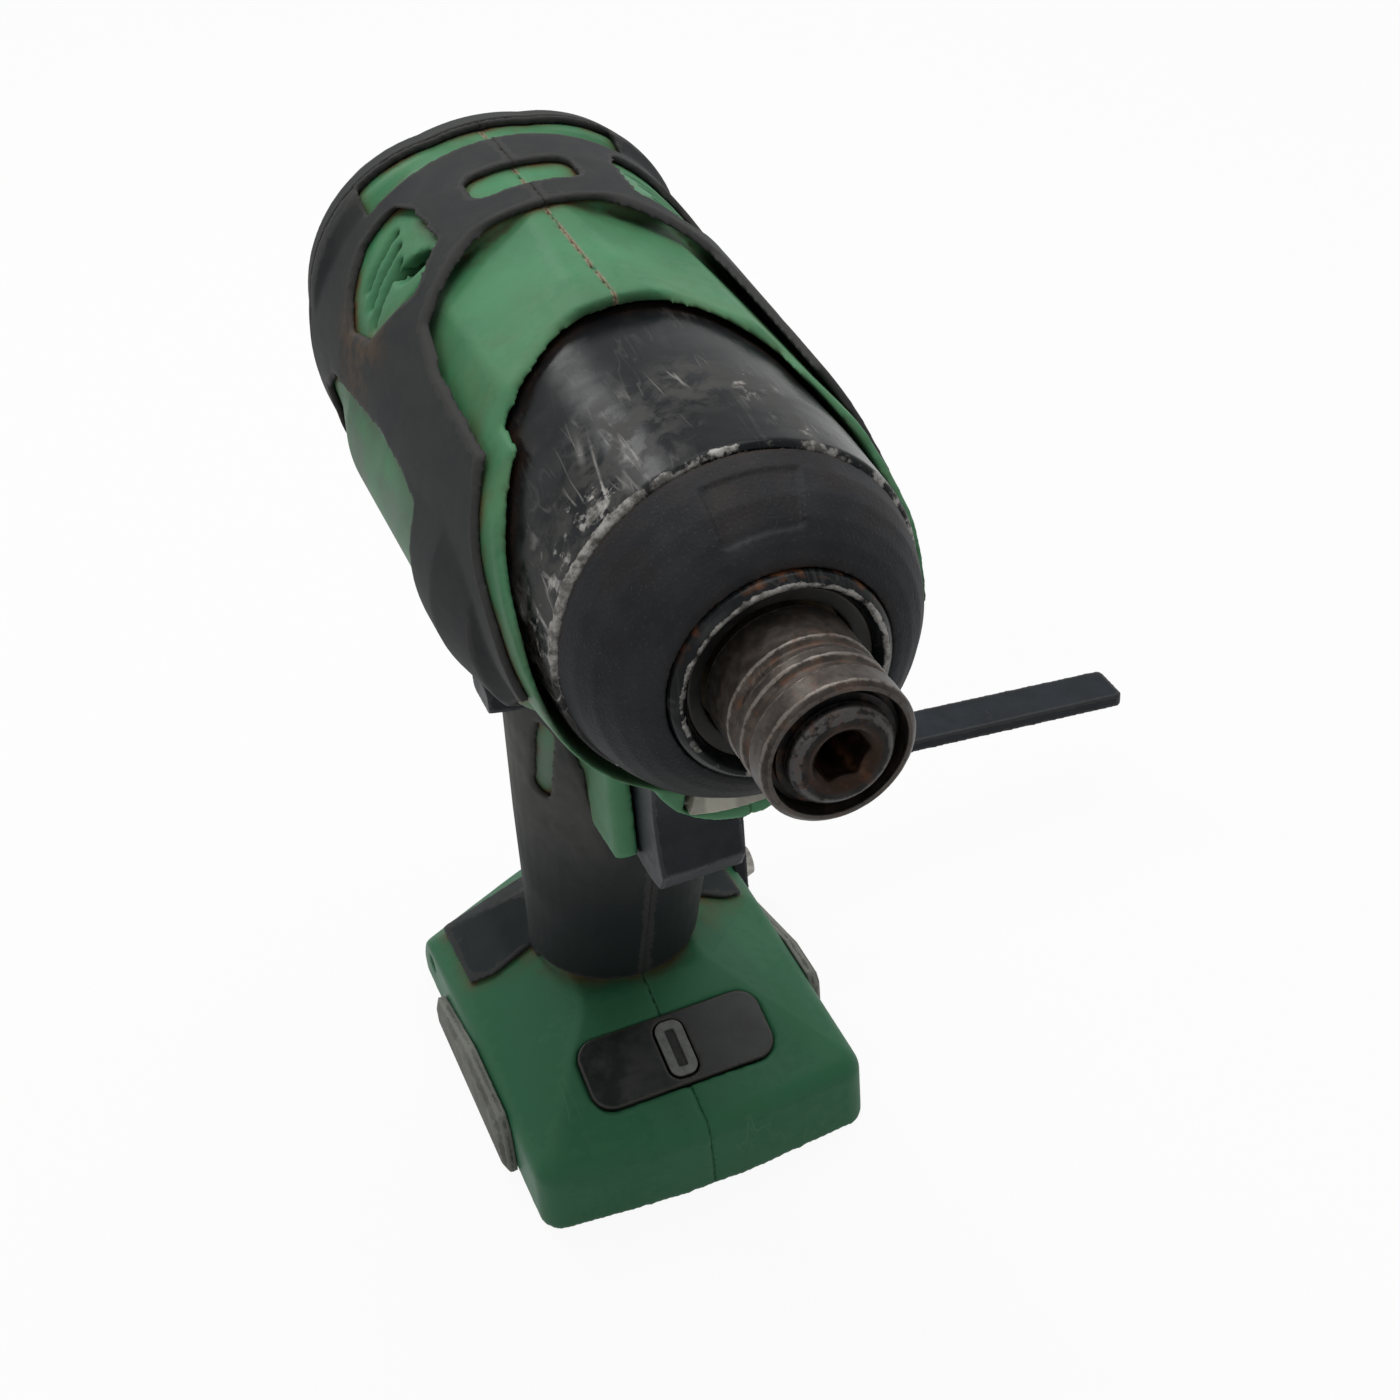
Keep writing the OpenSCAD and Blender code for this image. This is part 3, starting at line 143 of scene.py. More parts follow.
def first_of(tree, kind, into=None, **settings):
    """The first output of a new node."""
    return put(tree, kind, into, **settings).outputs[0]


def calc(tree, operation, *values, clamp=False):
    numbers = dict(enumerate(values))
    return first_of(tree, "ShaderNodeMath", numbers, operation=operation, use_clamp=clamp)


def times(tree, first, second, clamp=False):
    return calc(tree, "MULTIPLY", first, second, clamp=clamp)


def plus(tree, first, second, clamp=False):
    return calc(tree, "ADD", first, second, clamp=clamp)


def minus(tree, first, second, clamp=False):
    return calc(tree, "SUBTRACT", first, second, clamp=clamp)


def between(tree, value, low, high, start=0.0, end=1.0):
    """Goes smoothly from `start` to `end` as value goes from low to high."""
    return put(tree, "ShaderNodeMapRange", {"Value": value, "From Min": low, "From Max": high,
               "To Min": start, "To Max": end}, interpolation_type="SMOOTHSTEP").outputs["Result"]


def mix(tree, share, first, second):
    rgba = [c if isinstance(c, bpy.types.NodeSocket) else (*c, 1.0) for c in (first, second)]
    return put(tree, "ShaderNodeMix", {0: share, 6: rgba[0], 7: rgba[1]}, data_type="RGBA").outputs[2]


def scaled_noise(tree, where, scale, detail=2.0, roughness=0.5, distortion=0.0):
    return put(tree, "ShaderNodeTexNoise", {"Vector": where, "Scale": scale, "Detail": detail,
               "Roughness": roughness, "Distortion": distortion}).outputs["Fac"]


def noise(tree, where, size_mm, detail=3.0, roughness=0.55):
    """Noise whose blobs are about size_mm across."""
    return scaled_noise(tree, where, 1000.0 / size_mm, detail, roughness)


def stretched(tree, where, scale, turn_deg=(0, 0, 0), shift=0.0):
    return first_of(tree, "ShaderNodeMapping", {"Vector": where, "Location": (shift, shift, 0),
                    "Rotation": [math.radians(a) for a in turn_deg], "Scale": scale})


def seen_directly(tree):
    """1 for the rays that have to meet plain white: from the camera, off gloss and through glass."""
    path = put(tree, "ShaderNodeLightPath").outputs
    seen = plus(tree, path["Is Camera Ray"], path["Is Glossy Ray"])
    return plus(tree, seen, path["Is Transmission Ray"], clamp=True)


# %% World and floor
world = bpy.data.worlds.new("studio")
scene.world = world
world.use_nodes = True
tree = world.node_tree
tree.nodes.clear()
plain = first_of(tree, "ShaderNodeBackground", {"Color": (1, 1, 1, 1), "Strength": 0.26})
white = first_of(tree, "ShaderNodeBackground", {"Color": (1, 1, 1, 1), "Strength": 1.0})
blend = first_of(tree, "ShaderNodeMixShader", {0: seen_directly(tree), 1: plain, 2: white})
put(tree, "ShaderNodeOutputWorld", {"Surface": blend})

floor_mesh = bpy.data.meshes.new("floor")
FLOOR_HALF, FLOOR_Z = 6.0, -0.0003
floor_mesh.from_pydata([(x * FLOOR_HALF, y * FLOOR_HALF, FLOOR_Z) for x, y in
                        ((-1, -1), (1, -1), (1, 1), (-1, 1))], [], [(0, 1, 2, 3)])
floor = bpy.data.objects.new("floor", floor_mesh)
scene.collection.objects.link(floor)
paper = bpy.data.materials.new("white_floor")
paper.use_nodes = True
tree = paper.node_tree
tree.nodes.clear()
matt = first_of(tree, "ShaderNodeBsdfDiffuse", {"Color": (0.82, 0.82, 0.82, 1)})
glow = first_of(tree, "ShaderNodeEmission", {"Color": (1, 1, 1, 1), "Strength": 1.0})
share = times(tree, seen_directly(tree), 0.93)
blend = first_of(tree, "ShaderNodeMixShader", {0: share, 1: matt, 2: glow})
put(tree, "ShaderNodeOutputMaterial", {"Surface": blend})
floor_mesh.materials.append(paper)
floor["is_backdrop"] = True
print("floor and world made")


# %% [markdown]
# ## Effects that several finishes share
# Each effect is one node group with named inputs and outputs. A group only puts out masks, heights and
# colours. The Principled shader stays in each material, so that the export can read it.

# %% Group builder
SHADER, GEOMETRY = "ShaderNodeTree", "GeometryNodeTree"


def group_of(name, kind, inputs, outputs):
    """An empty group with its two end nodes. A socket is a label and a kind, and may have a value."""
    group = bpy.data.node_groups.new(name, kind)
    for in_out, sockets in (("INPUT", inputs), ("OUTPUT", outputs)):
        for label, socket_kind, *value in sockets:
            made = group.interface.new_socket(name=label, in_out=in_out,
                                              socket_type="NodeSocket" + socket_kind)
            if value:
                made.default_value = value[0]
    print("node group", name)
    return group, group.nodes.new("NodeGroupInput").outputs, group.nodes.new("NodeGroupOutput").inputs


def use(tree, group, into):
    """Places a group in a material with its own values."""
    return put(tree, "ShaderNodeGroup", into, node_tree=group).outputs


# %% Patches: soft-edged blotches of dust, rust or rub
patches, given, result = group_of("patches", SHADER, [
    ("Vector", "Vector"), ("Scale", "Float", 100.0), ("Amount", "Float", 0.5),
    ("Softness", "Float", 0.1), ("Detail", "Float", 5.0)], [("Mask", "Float")])
blobs = scaled_noise(patches, given["Vector"], given["Scale"], given["Detail"], 0.62, 0.3)
level = minus(patches, 1.0, given["Amount"])
low = minus(patches, level, given["Softness"])
high = plus(patches, level, given["Softness"])
patches.links.new(between(patches, blobs, low, high), result["Mask"])

# %% Scratches: thin lines along the contours of stretched noise
scratches, given, result = group_of("scratches", SHADER, [
    ("Vector", "Vector"), ("Scale", "Float", 150.0), ("Width", "Float", 0.01),
    ("Amount", "Float", 0.5)], [("Mask", "Float")])
lines = None
for angle, shift in (((20, 35, 10), 0.0), ((-30, 10, 75), 3.7), ((60, -25, 40), 9.1)):
    drawn_out = stretched(scratches, given["Vector"], (1.0, 0.12, 0.35), angle, shift)
    field = scaled_noise(scratches, drawn_out, given["Scale"], distortion=0.2)
    off = calc(scratches, "ABSOLUTE", minus(scratches, field, 0.5))
    line = minus(scratches, 1.0, calc(scratches, "DIVIDE", off, given["Width"]), clamp=True)
    lines = line if lines is None else calc(scratches, "MAXIMUM", lines, line)
where = scaled_noise(scratches, given["Vector"], times(scratches, given["Scale"], 0.6), 3.0)
level = minus(scratches, 1.0, given["Amount"])
here = between(scratches, where, level, plus(scratches, level, 0.12))
scratches.links.new(times(scratches, lines, here), result["Mask"])

# %% Grain: the fine skin of moulded plastic, rubber or cast metal
grain, given, result = group_of("grain", SHADER, [
    ("Vector", "Vector"), ("Scale", "Float", 2000.0), ("Coarse", "Float", 0.4)], [("Height", "Float")])
fine = scaled_noise(grain, given["Vector"], given["Scale"], roughness=0.6)
wide = scaled_noise(grain, given["Vector"], times(grain, given["Scale"], 0.12), 4.0)
grain.links.new(plus(grain, fine, times(grain, wide, given["Coarse"])), result["Height"])

# %% Rubbed: edges where the surface is worn through, broken up by noise
rubbed, given, result = group_of("rubbed", SHADER, [
    ("Vector", "Vector"), ("Edge", "Float", 0.0), ("Scale", "Float", 700.0),
    ("Amount", "Float", 0.5)], [("Mask", "Float")])
broken = scaled_noise(rubbed, given["Vector"], given["Scale"], 5.0, 0.65)
total = plus(rubbed, times(rubbed, given["Edge"], given["Amount"]),
             times(rubbed, minus(rubbed, broken, 0.5), 0.9))
rubbed.links.new(between(rubbed, total, 0.32, 0.5), result["Mask"])

# %% Settled dirt: a colour that gathers in hollows and beside neighbours
settled, given, result = group_of("settled_dirt", SHADER, [
    ("Vector", "Vector"), ("Colour", "Color", (0, 0, 0, 1)), ("Dirt", "Color", (0.1, 0.06, 0.03, 1)),
    ("Hollow", "Float", 0.0), ("Amount", "Float", 0.5), ("Scale", "Float", 250.0)],
    [("Colour", "Color")])
broken = scaled_noise(settled, given["Vector"], given["Scale"], 4.0, 0.6)
total = times(settled, between(settled, broken, 0.3, 0.7), given["Amount"])
total = times(settled, given["Hollow"], total, clamp=True)
settled.links.new(mix(settled, total, given["Colour"], given["Dirt"]), result["Colour"])


# %% [markdown]
# ## From CAD solid to moulded piece
# A CAD solid has knife-sharp edges. Moulded plastic, rubber and forged steel don't: their edges catch a
# line of light. A voxel remesh draws a closed skin over the solid, and a few rounds of smoothing round
# its edges by a few tenths of a millimetre. The result is a plain mesh that stands for the CAD node.

# %% Skin over CAD nodes
def link(name, mesh):
    made = bpy.data.objects.new(name, mesh)
    scene.collection.objects.link(made)
    return made


def flattened(piece):
    """Turns the evaluated result of a piece's modifiers into its plain mesh."""
    ready = piece.evaluated_get(bpy.context.evaluated_depsgraph_get())
    mesh = bpy.data.meshes.new_from_object(ready)
    mesh.name = piece.name
    piece.modifiers.clear()
    piece.data = mesh
    mesh.polygons.foreach_set("use_smooth", [True] * len(mesh.polygons))
    return piece


def merged_copy(name, nodes):
    """A copy of CAD nodes with their loose triangles joined."""
    joined = bmesh.new()
    for node in nodes:
        joined.from_mesh(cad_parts[node].data)
    bmesh.ops.remove_doubles(joined, verts=joined.verts, dist=1e-6)
    mesh = bpy.data.meshes.new(name)
    joined.to_mesh(mesh)
    joined.free()
    return link(name, mesh)


OFF_GRID = Matrix.Rotation(0.5, 4, "X") @ Matrix.Rotation(0.7, 4, "Y") @ Matrix.Rotation(0.3, 4, "Z")


def moulded(name, nodes, voxel_mm, rounds, keep=1.0):
    """A skin over CAD nodes. Its grid is tilted, because an edge along the grid comes out stepped."""
    piece = merged_copy(name, nodes)
    piece.data.transform(OFF_GRID)
    skin = piece.modifiers.new("Skin", "REMESH")
    skin.mode = "VOXEL"
    skin.voxel_size = voxel_mm * MM
    soft = piece.modifiers.new("Soften", "SMOOTH")
    soft.factor = 0.5
    soft.iterations = rounds
    if keep < 1:
        lean = piece.modifiers.new("Lean", "DECIMATE")
        lean.ratio = keep
    flattened(piece)
    piece.data.transform(OFF_GRID.inverted())
    for node in nodes:
        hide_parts(node)
    triangles = len(piece.data.loops) - 2 * len(piece.data.polygons)
    print(f"{name}: {len(piece.data.polygons)} faces, {triangles} triangles")
    return piece


# %% [markdown]
# ## Marks that the finishes read
# Wear follows the shape: edges rub bare and hollows fill with dust. Three numbers on each vertex say how
# far it stands out of its surroundings, how deep it lies in them, and how close it is to other pieces.

# %% Edge, hollow and near marks
FAR = 0.008


def vertex_array(mesh, field, width):
    values = np.empty(len(mesh.vertices) * width)
    mesh.vertices.foreach_get(field, values)
    return values.reshape(-1, width)


def marks(piece, rounds, depth_mm, near=(), reach_mm=1.0):
    """Compares each vertex with the mesh smoothed over so many rounds."""
    mesh = piece.data
    count = len(mesh.vertices)
    place, normal = vertex_array(mesh, "co", 3), vertex_array(mesh, "normal", 3)
    ends = np.empty(len(mesh.edges) * 2, np.int32)
    mesh.edges.foreach_get("vertices", ends)
    first, second = ends.reshape(-1, 2).T
    share = np.maximum(np.bincount(ends, minlength=count), 1)[:, None]

    def neighbours(values):
        columns = [np.bincount(first, values[second, k], count)
                   + np.bincount(second, values[first, k], count) for k in range(values.shape[1])]
        return np.stack(columns, 1) / share

    soft = place
    for _ in range(rounds):
        soft = 0.3 * soft + 0.7 * neighbours(soft)
    height = ((place - soft) * normal).sum(1, keepdims=True)
    height = (0.5 * height + 0.5 * neighbours(height))[:, 0] / (depth_mm * MM)
    fields = {"edge": np.clip(height, 0, 1), "hollow": np.clip(-height, 0, 1)}
    if near:
        trees = [BVHTree.FromPolygons([v.co for v in o.data.vertices],
                                      [p.vertices for p in o.data.polygons]) for o in near]
        away = [min((t.find_nearest(p, FAR)[3] or FAR) for t in trees) for p in map(Vector, place)]
        fields["near"] = np.exp(-np.array(away) / (reach_mm * MM))
    for label, values in fields.items():
        mark = mesh.attributes.get(label) or mesh.attributes.new(label, "FLOAT", "POINT")
        mark.data.foreach_set("value", values.astype(np.float32))
    return piece


# %% [markdown]
# ## Finishes
# Each finish is a Principled material that reads the place on the object and the wear marks. Colours are
# mixed from the plain colour of the piece, a fade, dust and bare metal, and the roughness follows them.

# %% Start of a finish
def finish(name, specular=0.5, coat=0.0, coat_roughness=0.2):
    made = bpy.data.materials.new(name)
    made.use_nodes = True
    tree = made.node_tree
    shader = feed(tree, tree.nodes["Principled BSDF"], {
        "Specular IOR Level": specular, "Coat Weight": coat, "Coat Roughness": coat_roughness})
    where = put(tree, "ShaderNodeTexCoord").outputs["Object"]
    xyz = put(tree, "ShaderNodeSeparateXYZ", {"Vector": where}).outputs
    print("finish", name)
    return made, tree, shader, where, xyz


def mark(tree, label):
    return put(tree, "ShaderNodeAttribute", attribute_name=label).outputs["Fac"]


def into_shader(tree, shader, colour, roughness, height, bump_mm, strength, metallic=0.0):
    bump = first_of(tree, "ShaderNodeBump", {"Strength": strength, "Distance": bump_mm * MM,
                    "Height": height})
    feed(tree, shader, {"Base Color": colour, "Roughness": roughness, "Metallic": metallic,
                        "Normal": bump})


def spot(tree, where, centre_mm, radius_mm):
    """1 at a point and 0 beyond a radius, for a place that took more knocks than the rest."""
    away = put(tree, "ShaderNodeVectorMath", {0: where, 1: [c * MM for c in centre_mm]},
               operation="DISTANCE")
    return between(tree, away.outputs["Value"], radius_mm * MM, radius_mm * 0.25 * MM)


def from_axis(tree, xyz):
    """Distance from the drive axis."""
    rise = minus(tree, xyz["Z"], AXIS_HEIGHT)
    return calc(tree, "SQRT", plus(tree, times(tree, xyz["X"], xyz["X"]), times(tree, rise, rise)))


# %% Short calls for the shared effects
def tint(tree, colour, mask, amount, tone):
    """Lays a tone over the colour where the mask is, up to an amount of 1."""
    return mix(tree, times(tree, mask, amount), colour, tone)


def patchy(tree, where, scale, amount, softness, detail=5.0):
    return use(tree, patches, {"Vector": where, "Scale": scale, "Amount": amount, "Softness": softness,
               "Detail": detail})["Mask"]


def scratched(tree, where, scale, width, amount):
    return use(tree, scratches, {"Vector": where, "Scale": scale, "Width": width,
               "Amount": amount})["Mask"]


def grained(tree, where, scale, coarse):
    return use(tree, grain, {"Vector": where, "Scale": scale, "Coarse": coarse})["Height"]


def worn_edges(tree, where, scale, amount):
    return use(tree, rubbed, {"Vector": where, "Edge": mark(tree, "edge"), "Scale": scale,
               "Amount": amount})["Mask"]


def dirtied(tree, where, colour, dirt, hollow, amount, scale):
    return use(tree, settled, {"Vector": where, "Colour": colour, "Dirt": (*dirt, 1), "Hollow": hollow,
               "Amount": amount, "Scale": scale})["Colour"]


# %% [markdown]
# ## Green shell
# The shell is dull green plastic, dustier on the head than on the foot. Its foot is painted a darker
# green for the shade that the head casts on it. An image could be painted for it, but that needs
# unwrapped faces. Noise read at the place on the object needs none.

# %% Green shell material
green, tree, shader, where, xyz = finish("green_shell", specular=0.14)
tone = between(tree, noise(tree, where, 26, 4), 0.35, 0.65)
colour = mix(tree, tone, (0.034, 0.158, 0.070), (0.056, 0.225, 0.102))
# Painted shade: low down the green turns darker, for the shade that the head casts on the foot.
high = between(tree, xyz["Z"], 0.03, 0.12)
colour = mix(tree, high, (0.022, 0.114, 0.055), colour)
faint_low = plus(tree, 0.30, times(tree, high, 0.70))
film = patchy(tree, where, 70.0, 0.47, 0.30, 3.0)
colour = tint(tree, colour, times(tree, film, faint_low), 0.34, (0.088, 0.165, 0.085))
stain = patchy(tree, where, 190.0, 0.36, 0.14)
colour = tint(tree, colour, times(tree, stain, faint_low), 0.26, (0.055, 0.085, 0.036))
rub = worn_edges(tree, where, 420.0, 0.75)
colour = tint(tree, colour, times(tree, rub, faint_low), 0.30, (0.100, 0.240, 0.130))
flank = between(tree, calc(tree, "ABSOLUTE", xyz["X"]), 0.020, 0.028)
flank = times(tree, flank, between(tree, xyz["Z"], 0.158, 0.140))
flank = times(tree, flank, times(tree, high, between(tree, noise(tree, where, 9, 4), 0.30, 0.62)))
colour = tint(tree, colour, flank, 0.75, (0.078, 0.104, 0.080))
colour = dirtied(tree, where, colour, (0.105, 0.052, 0.024), mark(tree, "near"), 1.5, 120.0)
colour = dirtied(tree, where, colour, (0.055, 0.050, 0.026), mark(tree, "hollow"), 0.9, 300.0)
seam = between(tree, calc(tree, "ABSOLUTE", xyz["X"]), 0.00048, 0.00022)
seam = times(tree, seam, between(tree, noise(tree, where, 5), 0.38, 0.52))
seam = times(tree, seam, between(tree, xyz["Z"], 0.155, 0.165))
colour = mix(tree, seam, colour, (0.24, 0.21, 0.14))
palm_dust = times(tree, spot(tree, where, (-16, -20, 91), 13),
                  between(tree, noise(tree, where, 6, 4), 0.3, 0.6, 0.6, 1.0))
colour = tint(tree, colour, palm_dust, 0.7, (0.105, 0.130, 0.108))
skin = grained(tree, where, 1600.0, 0.5)
nicks = scratched(tree, where, 110.0, 0.006, 0.40)
colour = tint(tree, colour, nicks, 0.30, (0.110, 0.230, 0.125))
rough = plus(tree, 0.44, times(tree, film, 0.16))
into_shader(tree, shader, colour, rough, height=minus(tree, skin, times(tree, nicks, 0.7)),
            bump_mm=0.05, strength=0.35)

# %% [markdown]
# ## Soft overmould
# The rubber skin is matt, and grey where hands have polished and dusted it. Stains painted one by one
# would take long, so a few measured spots are broken up by noise.

# %% Overmould material
soft_black, tree, shader, where, xyz = finish("soft_black", specular=0.12)
worn = patchy(tree, where, 55.0, 0.50, 0.18)
colour = mix(tree, worn, (0.014, 0.0155, 0.017), (0.029, 0.031, 0.031))
mottle = patchy(tree, where, 210.0, 0.48, 0.22)
colour = tint(tree, colour, mottle, 0.22, (0.050, 0.050, 0.047))
palm = times(tree, between(tree, xyz["Z"], 0.13, 0.09), between(tree, xyz["Z"], 0.045, 0.075))
palm = times(tree, palm, patchy(tree, stretched(tree, where, (1, 1, 0.45)), 75.0, 0.53, 0.14))
colour = tint(tree, colour, palm, 0.7, (0.060, 0.058, 0.054))
handled = times(tree, spot(tree, where, (-20, -8, 86), 30),
                between(tree, noise(tree, where, 7, 4), 0.35, 0.65))
colour = tint(tree, colour, handled, 0.55, (0.080, 0.084, 0.078))
# Painted shade: towards the bottom the rubber is painted near black, for the shade low on the grip.
colour = mix(tree, between(tree, xyz["Z"], 0.075, 0.045), colour, (0.009, 0.012, 0.012))
shoulder = between(tree, calc(tree, "ABSOLUTE", xyz["X"]), 0.0185, 0.0215)
shoulder = times(tree, shoulder, between(tree, xyz["Z"], 0.050, 0.044))
colour = mix(tree, shoulder, colour, (0.016, 0.020, 0.021))
brown = calc(tree, "MAXIMUM", spot(tree, where, (-28.4, 1, 160), 13),
             spot(tree, where, (28.4, 4, 160), 9))
brown = times(tree, brown, between(tree, noise(tree, where, 5, 5, 0.6), 0.40, 0.62))
colour = tint(tree, colour, brown, 0.75, (0.085, 0.056, 0.036))
rub = worn_edges(tree, where, 500.0, 0.7)
colour = tint(tree, colour, rub, 0.35, (0.060, 0.058, 0.054))
colour = dirtied(tree, where, colour, (0.085, 0.052, 0.030), mark(tree, "near"), 0.75, 90.0)
skin = grained(tree, where, 2400.0, 0.3)
into_shader(tree, shader, colour, plus(tree, 0.62, times(tree, worn, 0.12)), height=skin,
            bump_mm=0.06, strength=0.4)

# %% [markdown]
# ## Bumper rubber
# The bumper has a stippled skin, with brown dust beside the nose ring. Dots in the mesh would take
# millions of faces. Voronoi cells in the bump catch the light in the same way.

# %% Bumper material
bumper_black, tree, shader, where, xyz = finish("bumper_black", specular=0.09)
tone = between(tree, noise(tree, where, 9, 5), 0.35, 0.7)
colour = mix(tree, tone, (0.0175, 0.0187, 0.0212), (0.0285, 0.0305, 0.0338))
# Painted shade: below the drive axis the bumper is painted darker, for the shade on its lower side.
colour = mix(tree, between(tree, xyz["Z"], 0.146, 0.122), colour, (0.008, 0.008, 0.008))
stipple = put(tree, "ShaderNodeTexVoronoi", {"Vector": where, "Scale": 2300.0, "Randomness": 1.0},
              feature="SMOOTH_F1").outputs["Distance"]
speck = between(tree, noise(tree, where, 0.35, 1), 0.62, 0.72)
colour = tint(tree, colour, speck, 0.15, (0.12, 0.12, 0.115))
beside_top = times(tree, mark(tree, "near"), between(tree, xyz["Z"], 0.140, 0.160))
colour = dirtied(tree, where, colour, (0.075, 0.042, 0.020), beside_top, 0.5, 160.0)
recess = times(tree, spot(tree, where, (0, -76, 171), 10),
               between(tree, noise(tree, where, 3), 0.4, 0.65))
colour = tint(tree, colour, recess, 0.08, (0.085, 0.062, 0.040))
into_shader(tree, shader, colour, 0.58, height=stipple, bump_mm=0.10, strength=0.6)

# %% [markdown]
# ## Hammer case
# Gloss black paint covers a cast case, and knocks have taken it off along the front edge. Bare metal as a
# second material would end along faces. A mask of struck places, noise and a threshold ends raggedly.

# %% Hammer case material
CASE_FRONT_Y = -0.0722
NOSE_RING_Y, NOSE_RING_RADIUS = -0.0863, 0.0139
case_black, tree, shader, where, xyz = finish("case_black", specular=0.10)
tone = between(tree, noise(tree, where, 12, 4), 0.35, 0.7)
colour = mix(tree, tone, (0.004, 0.005, 0.0062), (0.010, 0.0115, 0.013))


def struck(places):
    """The strongest of several spots, each given as its centre and radius in mm."""
    strongest = None
    for centre, radius in places:
        here = spot(tree, where, centre, radius)
        strongest = here if strongest is None else calc(tree, "MAXIMUM", strongest, here)
    return strongest


knocks = struck((((-10.4, -61, 171), 12), ((-18, -69, 166), 12), ((-24, -69, 158), 13),
                 ((2, -56, 173), 9), ((12, -68, 169), 6), ((-25, -66, 146), 13), ((10, -59, 172), 7)))
scuffs = struck((((-15, -70, 166), 8), ((-21, -70, 160), 7), ((-26, -68, 150), 8), ((8, -59, 172), 5)))
up_side = between(tree, xyz["Z"], 0.136, 0.158)
front = between(tree, xyz["Y"], CASE_FRONT_Y + 0.0013, CASE_FRONT_Y + 0.0003)
front = times(tree, front, between(tree, xyz["Y"], CASE_FRONT_Y - 0.0009, CASE_FRONT_Y - 0.0003))
reach = from_axis(tree, xyz)
crest = between(tree, calc(tree, "ABSOLUTE", minus(tree, reach, NOSE_RING_RADIUS)), 0.0008, 0.0002)
crest = times(tree, crest, between(tree, xyz["Y"], NOSE_RING_Y + 0.0003, NOSE_RING_Y - 0.0003))
rim = times(tree, front, plus(tree, 0.12, times(tree, up_side, 0.32)))
nose_top = between(tree, xyz["Z"], 0.142, 0.160)
worn_ring = times(tree, crest, plus(tree, 0.34, times(tree, nose_top, 0.26)))
rim = calc(tree, "MAXIMUM", rim, worn_ring)
ragged = minus(tree, noise(tree, where, 2.2, 5, 0.62), 0.5)
blotch = minus(tree, noise(tree, where, 7, 3), 0.5)
strokes = stretched(tree, where, (1.0, 0.30, 1.0), (0, 0, 25))
scraped = scratched(tree, strokes, 130.0, 0.016, 0.52)
fine_lines = scratched(tree, where, 260.0, 0.014, 0.52)
bare = rim
for part, weight in ((knocks, 0.15), (scuffs, 0.20), (ragged, 1.3), (blotch, 0.8),
                     (times(tree, scraped, knocks), 0.4)):
    bare = plus(tree, bare, times(tree, part, weight))
bare = between(tree, bare, 0.40, 0.54)
dull = patchy(tree, where, 300.0, 0.50, 0.10)
dull = times(tree, dull, plus(tree, 0.08, times(tree, knocks, 0.9)), clamp=True)
colour = tint(tree, colour, dull, 0.45, (0.100, 0.097, 0.090))
lines = calc(tree, "MAXIMUM", times(tree, scraped, plus(tree, 0.08, knocks)),
             times(tree, fine_lines, plus(tree, 0.12, times(tree, knocks, 0.9))))
colour = tint(tree, colour, lines, 0.75, (0.25, 0.245, 0.23))
metal = mix(tree, between(tree, noise(tree, where, 1.8, 5, 0.7), 0.36, 0.64),
            (0.085, 0.082, 0.075), (0.36, 0.35, 0.33))
colour = mix(tree, bare, colour, metal)
colour = dirtied(tree, where, colour, (0.090, 0.040, 0.016), mark(tree, "near"), 0.8, 260.0)
rust_line = times(tree, between(tree, reach, 0.0146, 0.0150), between(tree, reach, 0.0160, 0.0155))
rust_line = times(tree, rust_line, between(tree, xyz["Z"], 0.152, 0.160))
rust_line = times(tree, rust_line, between(tree, noise(tree, where, 3.5, 5), 0.46, 0.60))
colour = tint(tree, colour, rust_line, 0.85, (0.130, 0.052, 0.022))
rough = plus(tree, 0.24, times(tree, dull, 0.30))
rough = plus(tree, rough, times(tree, bare, 0.22))
height = minus(tree, times(tree, noise(tree, where, 1.5, 4), 0.3),
              plus(tree, times(tree, bare, 0.25), times(tree, lines, 0.4)))
into_shader(tree, shader, colour, rough, height, bump_mm=0.07, strength=0.5,
            metallic=times(tree, bare, 0.35))
